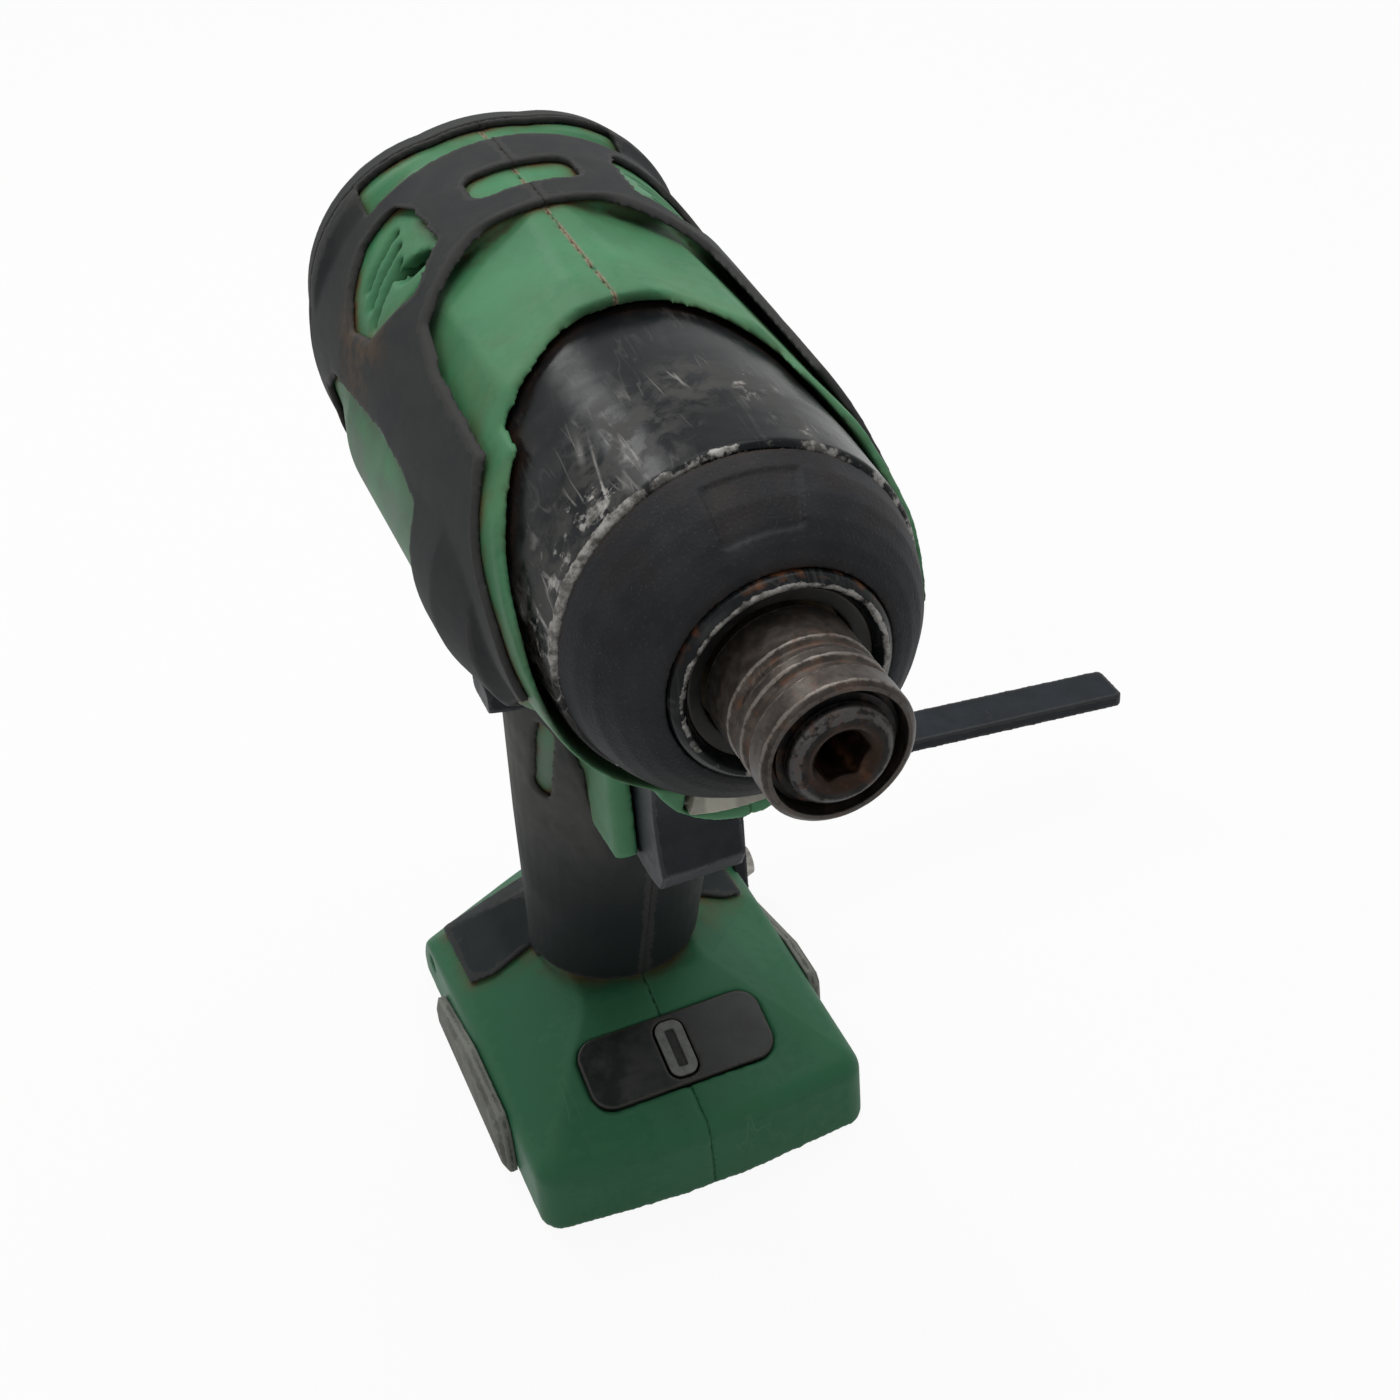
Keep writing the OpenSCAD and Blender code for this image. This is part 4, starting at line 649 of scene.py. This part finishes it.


# %% [markdown]
# ## Steels
# Sleeve, anvil, gears and screws differ in tone, rust and polish, not in kind, so one function makes
# their materials. Noise drawn out round the axis stands for the rings that a lathe leaves. The sleeve's
# front face is painted darker, for the shade on it.

# %% Steel materials
def steel(name, dark, light, rust, polish, rough_at, metal=0.9, on_lathe=True, mouth_mm=0.0,
          bright=2.4, shaded_front_y=None, specular=0.5):
    made, tree, shader, where, xyz = finish(name, specular=specular)
    tone = between(tree, noise(tree, where, 2.0, 5, 0.6), 0.35, 0.65)
    colour = mix(tree, tone, dark, light)
    if on_lathe:
        tooled = noise(tree, stretched(tree, where, (0.02, 1.0, 0.02)), 0.16, 2)
    else:
        tooled = noise(tree, where, 0.5, 3)
    rub = worn_edges(tree, where, 900.0, polish)
    colour = tint(tree, colour, rub, 0.8, tuple(min(1.0, bright * c + 0.02 * bright) for c in light))
    rusty = patchy(tree, where, 420.0, 0.30 + 0.3 * rust, 0.08)
    share = times(tree, rusty, rust)
    share = plus(tree, share, times(tree, times(tree, mark(tree, "hollow"),
                 between(tree, noise(tree, where, 2.5), 0.4, 0.6)), min(1.0, rust * 2.2)), clamp=True)
    # Painted shade: the front face is painted darker, for the shade on a face turned away from the lamps.
    if shaded_front_y is not None:
        front_shade = between(tree, xyz["Y"], shaded_front_y + 0.0009, shaded_front_y + 0.0002)
        colour = tint(tree, colour, front_shade, 0.6, tuple(0.4 * c for c in dark))
    if mouth_mm:
        mouth = between(tree, from_axis(tree, xyz), (mouth_mm + 0.3) * MM, (mouth_mm - 0.1) * MM)
        mouth = times(tree, mouth, between(tree, noise(tree, where, 1.6, 4), 0.2, 0.5, 0.65, 1.0))
        colour = mix(tree, mouth, colour, (0.022, 0.013, 0.009))
        share = times(tree, share, 0.8)
    colour = mix(tree, share, colour, (0.115, 0.045, 0.020))
    lines = scratched(tree, where, 240.0, 0.012, 0.42)
    colour = tint(tree, colour, lines, 0.4, tuple(min(1.0, 1.8 * c + 0.04) for c in light))
    rough = plus(tree, rough_at, times(tree, share, 0.35))
    metallic = times(tree, metal, minus(tree, 1.0, times(tree, share, 0.8)))
    height = plus(tree, times(tree, tooled, 0.5),
                  minus(tree, times(tree, share, 0.6), times(tree, lines, 0.5)))
    into_shader(tree, shader, colour, rough, height, bump_mm=0.03, strength=0.5, metallic=metallic)
    return made


sleeve_steel = steel("sleeve_steel", (0.027, 0.022, 0.0185), (0.062, 0.052, 0.044), 0.26, 0.50, 0.42,
                     metal=0.7, bright=1.9, shaded_front_y=SLEEVE_FRONT_Y, specular=0.4)
anvil_steel = steel("anvil_steel", (0.008, 0.0075, 0.007), (0.020, 0.0185, 0.018), 0.34, 0.50, 0.42,
                    metal=0.7, mouth_mm=4.9, bright=1.8, specular=0.15)
bright_steel = steel("bright_steel", (0.42, 0.42, 0.43), (0.60, 0.60, 0.61), 0.05, 0.4, 0.28)
dull_iron = steel("dull_iron", (0.16, 0.16, 0.165), (0.27, 0.27, 0.275), 0.08, 0.4, 0.48)
bronze = steel("bronze", (0.045, 0.032, 0.018), (0.080, 0.058, 0.032), 0.0, 0.2, 0.5, metal=0.6)
cast_alloy = steel("cast_alloy", (0.38, 0.38, 0.39), (0.55, 0.55, 0.56), 0.0, 0.4, 0.5, on_lathe=False)
zinc_screw = steel("zinc_screw", (0.20, 0.19, 0.17), (0.36, 0.35, 0.32), 0.28, 0.7, 0.4, on_lathe=False)
magnet_plate = steel("magnet_plate", (0.14, 0.14, 0.15), (0.22, 0.22, 0.24), 0.0, 0.3, 0.3)


# %% [markdown]
# ## Small plastic pieces
# Trigger, lever, hook, panel and most inner pieces are moulded. One function gives them a tone, a film of
# dust, rubbed edges and a few nicks, since a material each would repeat the same nodes.

# %% Plastic materials
def plastic(name, dark, light, rough_at, specular, dust, wear=(0.2, 0.2, 0.19), spread_mm=8.0):
    made, tree, shader, where, xyz = finish(name, specular=specular)
    tone = between(tree, noise(tree, where, spread_mm, 4), 0.35, 0.65)
    colour = mix(tree, tone, dark, light)
    film = patchy(tree, where, 160.0, 0.46, 0.14)
    colour = tint(tree, colour, film, dust, tuple(0.45 * c + 0.05 for c in wear))
    rub = worn_edges(tree, where, 600.0, 0.7)
    colour = tint(tree, colour, rub, 0.5, wear)
    nicks = scratched(tree, where, 190.0, 0.008, 0.40)
    colour = tint(tree, colour, nicks, 0.4, wear)
    colour = dirtied(tree, where, colour, (0.075, 0.052, 0.030), mark(tree, "hollow"), dust, 300.0)
    skin = grained(tree, where, 1800.0, 0.4)
    rough = plus(tree, rough_at, times(tree, film, 0.15))
    into_shader(tree, shader, colour, rough, height=minus(tree, skin, times(tree, nicks, 0.6)),
                bump_mm=0.04, strength=0.35)
    return made


control_black = plastic("control_black", (0.0075, 0.010, 0.0125), (0.014, 0.0175, 0.022),
                        0.42, 0.14, 0.12, (0.055, 0.058, 0.062))
hook_black = plastic("hook_black", (0.008, 0.011, 0.0145), (0.014, 0.018, 0.0235), 0.40, 0.11, 0.10,
                     (0.06, 0.06, 0.06))
panel_black = plastic("panel_black", (0.007, 0.009, 0.009), (0.013, 0.015, 0.015), 0.34, 0.2, 0.25,
                      (0.05, 0.046, 0.038))
plate_black = plastic("plate_black", (0.085, 0.088, 0.076), (0.165, 0.172, 0.148), 0.65, 0.15, 0.6,
                      (0.28, 0.285, 0.25), spread_mm=6.0)
inner_black = plastic("inner_black", (0.020, 0.020, 0.022), (0.034, 0.034, 0.036), 0.5, 0.35, 0.2)
seal_black = plastic("seal_black", (0.007, 0.007, 0.007), (0.014, 0.014, 0.013), 0.5, 0.3, 0.25,
                     (0.06, 0.05, 0.04))
fan_white = plastic("fan_white", (0.50, 0.49, 0.45), (0.62, 0.61, 0.57), 0.45, 0.4, 0.3,
                    (0.7, 0.7, 0.66))
board_green = plastic("board_green", (0.020, 0.120, 0.045), (0.035, 0.190, 0.075), 0.3, 0.5, 0.1,
                      (0.3, 0.35, 0.2))
wire_red = plastic("wire_red", (0.26, 0.020, 0.018), (0.34, 0.035, 0.030), 0.4, 0.45, 0.15,
                   (0.4, 0.15, 0.12))

# %% [markdown]
# ## Button, lens and copper
# The button has a grey rim round a dark field, told apart by the height above the sloped panel. The lens is
# cloudy, with paler fields where its lamps are. The coils are enamelled wire laid side by side: a wave
# texture draws the turns, which would be heavy to model.

# %% Button
PANEL_TILT = math.radians(19.83)
PANEL_Y, PANEL_Z = -0.0246, 0.02049
button_grey, tree, shader, where, xyz = finish("button_grey", specular=0.2)
rise = minus(tree, times(tree, minus(tree, xyz["Z"], PANEL_Z), math.cos(PANEL_TILT)),
             times(tree, minus(tree, xyz["Y"], PANEL_Y), math.sin(PANEL_TILT)))
colour = mix(tree, between(tree, rise, 0.00035, 0.00065), (0.012, 0.013, 0.013), (0.165, 0.172, 0.164))
worn = patchy(tree, where, 700.0, 0.5, 0.12)
colour = tint(tree, colour, worn, 0.35, (0.045, 0.043, 0.038))
skin = grained(tree, where, 2200.0, 0.4)
into_shader(tree, shader, colour, 0.55, height=skin, bump_mm=0.03, strength=0.3)

# %% Lens
lens_cream, tree, shader, where, xyz = finish("lens_cream", specular=0.5)
feed(tree, shader, {"Subsurface Weight": 0.15, "Subsurface Radius": (0.002, 0.002, 0.0015)})
tone = between(tree, noise(tree, where, 4, 4), 0.3, 0.7)
colour = mix(tree, tone, (0.20, 0.195, 0.150), (0.30, 0.29, 0.235))
fields = calc(tree, "ABSOLUTE", minus(tree, calc(tree, "ABSOLUTE", xyz["X"]), 0.0046))
colour = mix(tree, times(tree, between(tree, fields, 0.0026, 0.0018), 0.55), colour, (0.52, 0.50, 0.40))
colour = dirtied(tree, where, colour, (0.10, 0.075, 0.045), mark(tree, "near"), 0.8, 200.0)
into_shader(tree, shader, colour, 0.32, height=noise(tree, where, 0.7, 3), bump_mm=0.03, strength=0.3)

# %% Copper
copper, tree, shader, where, xyz = finish("copper_wire", specular=0.5, coat=0.5, coat_roughness=0.25)
turns = put(tree, "ShaderNodeTexWave", {"Vector": where, "Scale": 380.0, "Distortion": 0.6,
            "Detail": 1.0}, bands_direction="DIAGONAL").outputs["Fac"]
colour = mix(tree, turns, (0.20, 0.060, 0.020), (0.62, 0.25, 0.09))
into_shader(tree, shader, colour, 0.35, turns, bump_mm=0.25, strength=0.7, metallic=0.8)


# %% [markdown]
# ## Shell halves and overmould
# The shell is two moulded halves in green plastic, screwed together on the plane X = 0, with soft black
# rubber moulded over them. Each half is its own piece. Smoothing would open a wide groove along the
# parting plane, so the rims there are put back on the plane, which leaves the fine seam of a real tool.

# %% Putting a half's rim back on the parting plane
SIDES = ((1, "left"), (-1, "right"))
RIM_REACH, HALF_SEAM = 0.0005, 0.00002


def close_seam(piece, side):
    mesh = piece.data
    place = vertex_array(mesh, "co", 3)
    rim = np.abs(place[:, 0]) < RIM_REACH
    place[rim, 0] = side * HALF_SEAM
    mesh.vertices.foreach_set("co", place.ravel())
    mesh.update()


def place_piece(piece, body, material):
    """Gives a piece its finish and the body it rides on."""
    piece.data.materials.clear()
    piece.data.materials.append(material)
    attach(piece, body)
    return piece


# %% Soft overmould halves
soft_pieces = []
for side, label in SIDES:
    soft = moulded("soft_grip_" + label, ["overmould_" + label], 0.42, rounds=8, keep=0.55)
    close_seam(soft, side)
    soft_pieces.append(place_piece(soft, "tool", soft_black))

# %% Rear cap
rear = moulded("rear_end_cap", ["rear_cap"], 0.42, rounds=5, keep=0.8)
place_piece(rear, "tool", soft_black)

# %% Green shell halves
case_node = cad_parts["hammer_case"]
shell_pieces = []
for side, label in SIDES:
    shell = moulded("green_shell_" + label, ["housing_" + label], 0.52, rounds=13, keep=0.40)
    close_seam(shell, side)
    shell_pieces.append(place_piece(shell, "tool", green))

# %% Wear marks on shell and overmould
for soft in soft_pieces + [rear]:
    marks(soft, rounds=16, depth_mm=0.16)
for shell in shell_pieces:
    marks(shell, rounds=16, depth_mm=0.18, near=soft_pieces + [case_node], reach_mm=0.9)
print("shell and overmould marked")


# %% [markdown]
# ## Turned parts of the nose
# The hammer case, the bit sleeve and the dust seal are made on a lathe: one outline, spun about the drive
# axis. A Geometry Nodes tree does the same. It takes the outline as a loop of edges, rounds its corners,
# spaces its points evenly and sweeps it round a tiny circle. A little noise along the normals adds the
# dents of use, which plain spinning can't give.

# %% Lathe tree
lathe, given, result = group_of("turned_on_the_drive_axis", GEOMETRY, [
    ("Geometry", "Geometry"), ("Corner radius", "Float", 0.0003), ("Spacing", "Float", 0.00025),
    ("Sides", "Int", 160), ("Dents", "Float", 0.00004), ("Dent size", "Float", 0.003),
    ("Finish", "Material")], [("Geometry", "Geometry")])
outline = first_of(lathe, "GeometryNodeMeshToCurve", {"Mesh": given["Geometry"]})
rounded = first_of(lathe, "GeometryNodeFilletCurve", {"Curve": outline, "Count": 5,
                   "Limit Radius": True, "Radius": given["Corner radius"]}, mode="POLY")
even = first_of(lathe, "GeometryNodeResampleCurve", {"Curve": rounded, "Length": given["Spacing"]},
                mode="LENGTH")
circle = first_of(lathe, "GeometryNodeCurvePrimitiveCircle", {"Resolution": given["Sides"],
                  "Radius": 1e-6})
spun = first_of(lathe, "GeometryNodeCurveToMesh", {"Curve": circle, "Profile Curve": even})
placed = first_of(lathe, "GeometryNodeTransform", {"Geometry": spun, "Rotation": (-math.pi / 2, 0, 0),
                  "Translation": (0, SLEEVE_FRONT_Y, AXIS_HEIGHT)})
dent = scaled_noise(lathe, first_of(lathe, "GeometryNodeInputPosition"),
                    calc(lathe, "DIVIDE", 1.0, given["Dent size"]), 3.0)
push = times(lathe, minus(lathe, dent, 0.55), given["Dents"])
along = first_of(lathe, "ShaderNodeVectorMath", {0: first_of(lathe, "GeometryNodeInputNormal"),
                 "Scale": push}, operation="SCALE")
worn = first_of(lathe, "GeometryNodeSetPosition", {"Geometry": placed, "Offset": along})
real = first_of(lathe, "GeometryNodeRealizeInstances", {"Geometry": worn})
last = first_of(lathe, "GeometryNodeSetMaterial", {"Geometry": real, "Material": given["Finish"]})
lathe.links.new(last, result["Geometry"])


# %% Running a tree and facing its mesh outwards
def run_tree(name, start_mesh, group, values):
    piece = link(name, start_mesh)
    step = piece.modifiers.new(group.name, "NODES")
    step.node_group = group
    names = {item.name: item.identifier for item in group.interface.items_tree
             if item.item_type == "SOCKET" and item.in_out == "INPUT"}
    for label, value in values.items():
        step[names[label]] = value
    flattened(piece)
    joined = bmesh.new()
    joined.from_mesh(piece.data)
    bmesh.ops.remove_doubles(joined, verts=joined.verts, dist=1e-7)
    bmesh.ops.recalc_face_normals(joined, faces=joined.faces)
    if joined.calc_volume(signed=True) < 0:
        bmesh.ops.reverse_faces(joined, faces=joined.faces)
    joined.to_mesh(piece.data)
    joined.free()
    size_mm = [round(1000 * d, 2) for d in piece.dimensions]
    print(f"{name}: {len(piece.data.polygons)} faces, box", size_mm)
    return piece


def turned(name, outline_mm, material, corner_mm, spacing_mm, sides, dents_mm, dent_mm):
    """Spins an outline of [radius, distance behind the sleeve's front] points about the drive axis."""
    mesh = bpy.data.meshes.new(name + "_outline")
    count = len(outline_mm)
    mesh.from_pydata([(r * MM, -s * MM, 0) for r, s in outline_mm],
                     [(i, (i + 1) % count) for i in range(count)], [])
    return run_tree(name, mesh, lathe, {
        "Corner radius": corner_mm * MM, "Spacing": spacing_mm * MM, "Sides": sides,
        "Dents": dents_mm * MM, "Dent size": dent_mm * MM, "Finish": material})


# %% Bit sleeve: three lands between two worn grooves
sleeve = turned("bit_collar", [
    (9.1, 0.0), (9.45, 0.0), (10.25, 0.8), (10.25, 4.1), (9.45, 4.7), (9.45, 5.9), (10.25, 6.5),
    (10.25, 8.2), (9.45, 8.8), (9.45, 10.0), (10.25, 10.6), (10.25, 17.5), (9.75, 18.0), (8.9, 18.0),
    (8.9, 11.8), (7.06, 11.8), (7.06, 8.4), (8.9, 8.4), (8.9, 0.2)], sleeve_steel,
    corner_mm=0.35, spacing_mm=0.2, sides=200, dents_mm=0.10, dent_mm=1.8)
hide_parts("bit_sleeve")
marks(place_piece(sleeve, "sleeve", sleeve_steel), rounds=8, depth_mm=0.07)

# %% Hammer case with its nose ring
nose_case = turned("gear_case", [
    (12.9, 17.0), (13.5, 16.1), (13.9, 15.8), (14.2, 15.9), (15.2, 17.0), (15.3, 20.4), (20.2, 22.6),
    (22.7, 26.2), (23.1, 30.8), (25.3, 30.8), (25.8, 31.3), (26.4, 43.8), (26.4, 77.1), (22.9, 77.1),
    (21.7, 76.1), (21.7, 38.4), (20.2, 36.85), (10.25, 36.85), (10.25, 21.0), (12.7, 21.0),
    (12.7, 17.6)], case_black,
    corner_mm=0.4, spacing_mm=0.45, sides=240, dents_mm=0.14, dent_mm=4.0)
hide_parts("hammer_case")
marks(place_piece(nose_case, "tool", case_black), rounds=8, depth_mm=0.10,
      near=shell_pieces, reach_mm=0.7)

# %% Dust seal in the mouth of the nose
dust_seal = turned("dust_seal", [
    (10.5, 18.3), (12.65, 17.7), (12.65, 20.95), (10.42, 20.95)], seal_black,
    corner_mm=0.2, spacing_mm=0.2, sides=160, dents_mm=0.05, dent_mm=1.5)
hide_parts("nose_seal")
marks(place_piece(dust_seal, "tool", seal_black), rounds=6, depth_mm=0.1)


# %% [markdown]
# ## Bumper, anvil and the small moulded pieces
# The other pieces that show keep their CAD shape, with moulded or forged edges. The voxel size follows
# the piece: fine enough for its smallest edge, and no finer.

# %% Front bumper with the shallow recess on its top
bumper = moulded("nose_bumper", ["front_bumper"], 0.30, rounds=5)
marks(place_piece(bumper, "tool", bumper_black), rounds=14, depth_mm=0.12,
      near=[nose_case], reach_mm=0.8)

# %% Anvil with its hexagonal socket
forged_anvil = moulded("socket_anvil", ["anvil"], 0.30, rounds=3)
marks(place_piece(forged_anvil, "anvil", anvil_steel), rounds=10, depth_mm=0.08)

# %% Trigger, direction lever, hook, plates, panel, button and lens
small_pieces = (
    ("finger_trigger", "trigger", "trigger", 0.30, 8, control_black, "control_black", 0.10),
    ("turn_lever", "direction_lever", "lever", 0.28, 5, control_black, "control_black", 0.10),
    ("strip_hook", "belt_hook", "tool", 0.32, 4, hook_black, "hook_black", 0.10),
    ("foot_guards", "side_plates", "tool", 0.28, 5, plate_black, "plate_black", 0.10),
    ("mode_panel", "control_panel", "tool", 0.22, 5, panel_black, "panel_black", 0.07),
    ("mode_push_button", "mode_button", "button", 0.14, 4, button_grey, "button_grey", 0.06),
    ("light_window", "led_lens", "tool", 0.18, 2, lens_cream, "lens_cream", 0.07))
for name, node, body, voxel_mm, rounds, material, slot_name, depth_mm in small_pieces:
    piece = moulded(name, [node], voxel_mm, rounds)
    marks(place_piece(piece, body, material), rounds=12, depth_mm=depth_mm)


# %% [markdown]
# ## Screws
# The screws repeat, so one Geometry Nodes tree makes them all: a shank and a coned head with a cross
# recess cut into it, set on each point and turned by a random amount about its own axis, as a worker
# leaves them. The points are the CAD screws' own places.

# %% Screw tree
screws, given, result = group_of("cross_head_screws", GEOMETRY, [
    ("Geometry", "Geometry"), ("Head radius", "Float", 0.0027), ("Head height", "Float", 0.002),
    ("Shank radius", "Float", 0.0014), ("Length", "Float", 0.015), ("Cross depth", "Float", 0.0011),
    ("Direction", "Vector", (0, 0, 0)), ("Seed", "Int", 3), ("Finish", "Material")],
    [("Geometry", "Geometry")])


def raised(shape, height):
    at = first_of(screws, "ShaderNodeCombineXYZ", {"Z": height})
    return first_of(screws, "GeometryNodeTransform", {"Geometry": shape, "Translation": at})


head_top = times(screws, given["Head radius"], 0.80)
head = first_of(screws, "GeometryNodeMeshCone", {"Vertices": 40, "Radius Top": head_top,
                "Radius Bottom": given["Head radius"], "Depth": given["Head height"]})
shank = first_of(screws, "GeometryNodeMeshCylinder", {"Vertices": 24, "Radius": given["Shank radius"],
                 "Depth": given["Length"]})
sunk = minus(screws, 0.0001, times(screws, given["Length"], 0.5))
bar_length = times(screws, given["Head radius"], 1.1)
bar_width = times(screws, given["Head radius"], 0.26)
deep = times(screws, given["Cross depth"], 2.0)
cut = put(screws, "GeometryNodeMeshBoolean", {"Mesh 1": head}, operation="DIFFERENCE",
          solver="MANIFOLD")
for across, along in ((bar_length, bar_width), (bar_width, bar_length)):
    size = first_of(screws, "ShaderNodeCombineXYZ", {"X": across, "Y": along, "Z": deep})
    bar = first_of(screws, "GeometryNodeMeshCube", {"Size": size})
    screws.links.new(raised(bar, given["Head height"]), cut.inputs["Mesh 2"])
whole = put(screws, "GeometryNodeJoinGeometry")
screws.links.new(cut.outputs[0], whole.inputs[0])
screws.links.new(raised(shank, sunk), whole.inputs[0])
standing = first_of(screws, "GeometryNodeInstanceOnPoints", {"Points": given["Geometry"],
                    "Instance": whole.outputs[0], "Rotation": given["Direction"]})
angle = put(screws, "FunctionNodeRandomValue", {2: 0.0, 3: 1.5, "Seed": given["Seed"]},
            data_type="FLOAT")
twist = first_of(screws, "ShaderNodeCombineXYZ", {"Z": angle.outputs[1]})
twisted = first_of(screws, "GeometryNodeRotateInstances", {"Instances": standing, "Rotation": twist})
real = first_of(screws, "GeometryNodeRealizeInstances", {"Geometry": twisted})
last = first_of(screws, "GeometryNodeSetMaterial", {"Geometry": real, "Material": given["Finish"]})
screws.links.new(last, result["Geometry"])


# %% Setting the screws
def set_screws(name, node, points_mm, direction, head_r, head_h, shank_r, length, seed):
    """Sizes are in mm; the direction is the turn that takes a screw from upright to its own axis."""
    points = bpy.data.meshes.new(name + "_points")
    points.from_pydata([tuple(c * MM for c in p) for p in points_mm], [], [])
    piece = run_tree(name, points, screws, {
        "Head radius": head_r * MM, "Head height": head_h * MM, "Shank radius": shank_r * MM,
        "Length": length * MM, "Cross depth": 1.1 * MM, "Direction": direction, "Seed": seed,
        "Finish": zinc_screw})
    piece.data.polygons.foreach_set("use_smooth", [False] * len(piece.data.polygons))
    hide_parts(node)
    place_piece(piece, "tool", zinc_screw)


OUTWARDS, REARWARDS = (0, math.pi / 2, 0), (-math.pi / 2, 0, 0)
AXIS_MM, FRONT_MM = AXIS_HEIGHT / MM, SLEEVE_FRONT_Y / MM
CASE_SCREW_CIRCLE_MM = 24.2
case_screw_angles = [math.radians(a) for a in (45, 135, 225, 315)]
set_screws("housing_screw_set", "housing_screws", [
    (7.05, y + FRONT_MM, z + AXIS_MM) for y, z in
    ((45, -31.3), (92.4, -36.3), (95, -79), (127.2, -131.8))], OUTWARDS, 2.7, 2.0, 1.4, 15.0, 3)
set_screws("rear_cap_screw_set", "rear_cap_screws", [
    (0, 137.3 + FRONT_MM, AXIS_MM + rise) for rise in (-23.9, 23.9)], REARWARDS, 2.7, 1.5, 1.4, 4.4, 5)
set_screws("case_screw_set", "case_screws", [
    (CASE_SCREW_CIRCLE_MM * math.cos(a), 88.35 + FRONT_MM, AXIS_MM - CASE_SCREW_CIRCLE_MM * math.sin(a))
    for a in case_screw_angles], REARWARDS, 2.0, 1.6, 1.15, 15.8, 7)
set_screws("hook_thumb_screw", "hook_screw", [(34.6, 29.2, 8.0)], OUTWARDS, 3.6, 2.2, 1.65, 9.4, 9)


# %% [markdown]
# ## Finishes for the CAD nodes that stay
# What lies inside keeps its CAD shape: gears, bearings, motor and boards have the edges of machined parts.
# Each node gets the finish of its real material.

# %% Inner parts
inner_finishes = {
    bright_steel: ("spindle", "planet_pins", "planet_gear_left", "planet_gear_right", "spindle_bearing",
                   "front_motor_bearing", "rear_motor_bearing", "rotor", "detent_balls", "cam_balls",
                   "hammer_spring", "spring_washer", "sleeve_spring", "trigger_spring"),
    dull_iron: ("hammer", "ring_gear", "stator"), anvil_steel: ("sleeve_washer", "retaining_ring"),
    cast_alloy: ("gearbox_cover",), bronze: ("anvil_bushing",), copper: ("windings",),
    magnet_plate: ("rotor_magnets",), wire_red: ("motor_leads",), fan_white: ("cooling_fan",),
    board_green: ("led_board", "sensor_board", "control_board"),
    inner_black: ("switch_body", "terminal_block")}
for material, nodes in inner_finishes.items():
    for node in nodes:
        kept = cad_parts[node].data.materials
        kept.clear()
        kept.append(material)
left_over = [n for n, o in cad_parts.items()
             if not o.hide_render and not any(n in group for group in inner_finishes.values())]
print("CAD nodes without a new finish:", left_over)


# %% Boxes
dressed_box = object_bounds()
for label, corners in (("CAD", cad_box), ("dressed", dressed_box)):
    print(label, [[round(1000 * v, 2) for v in c] for c in corners])
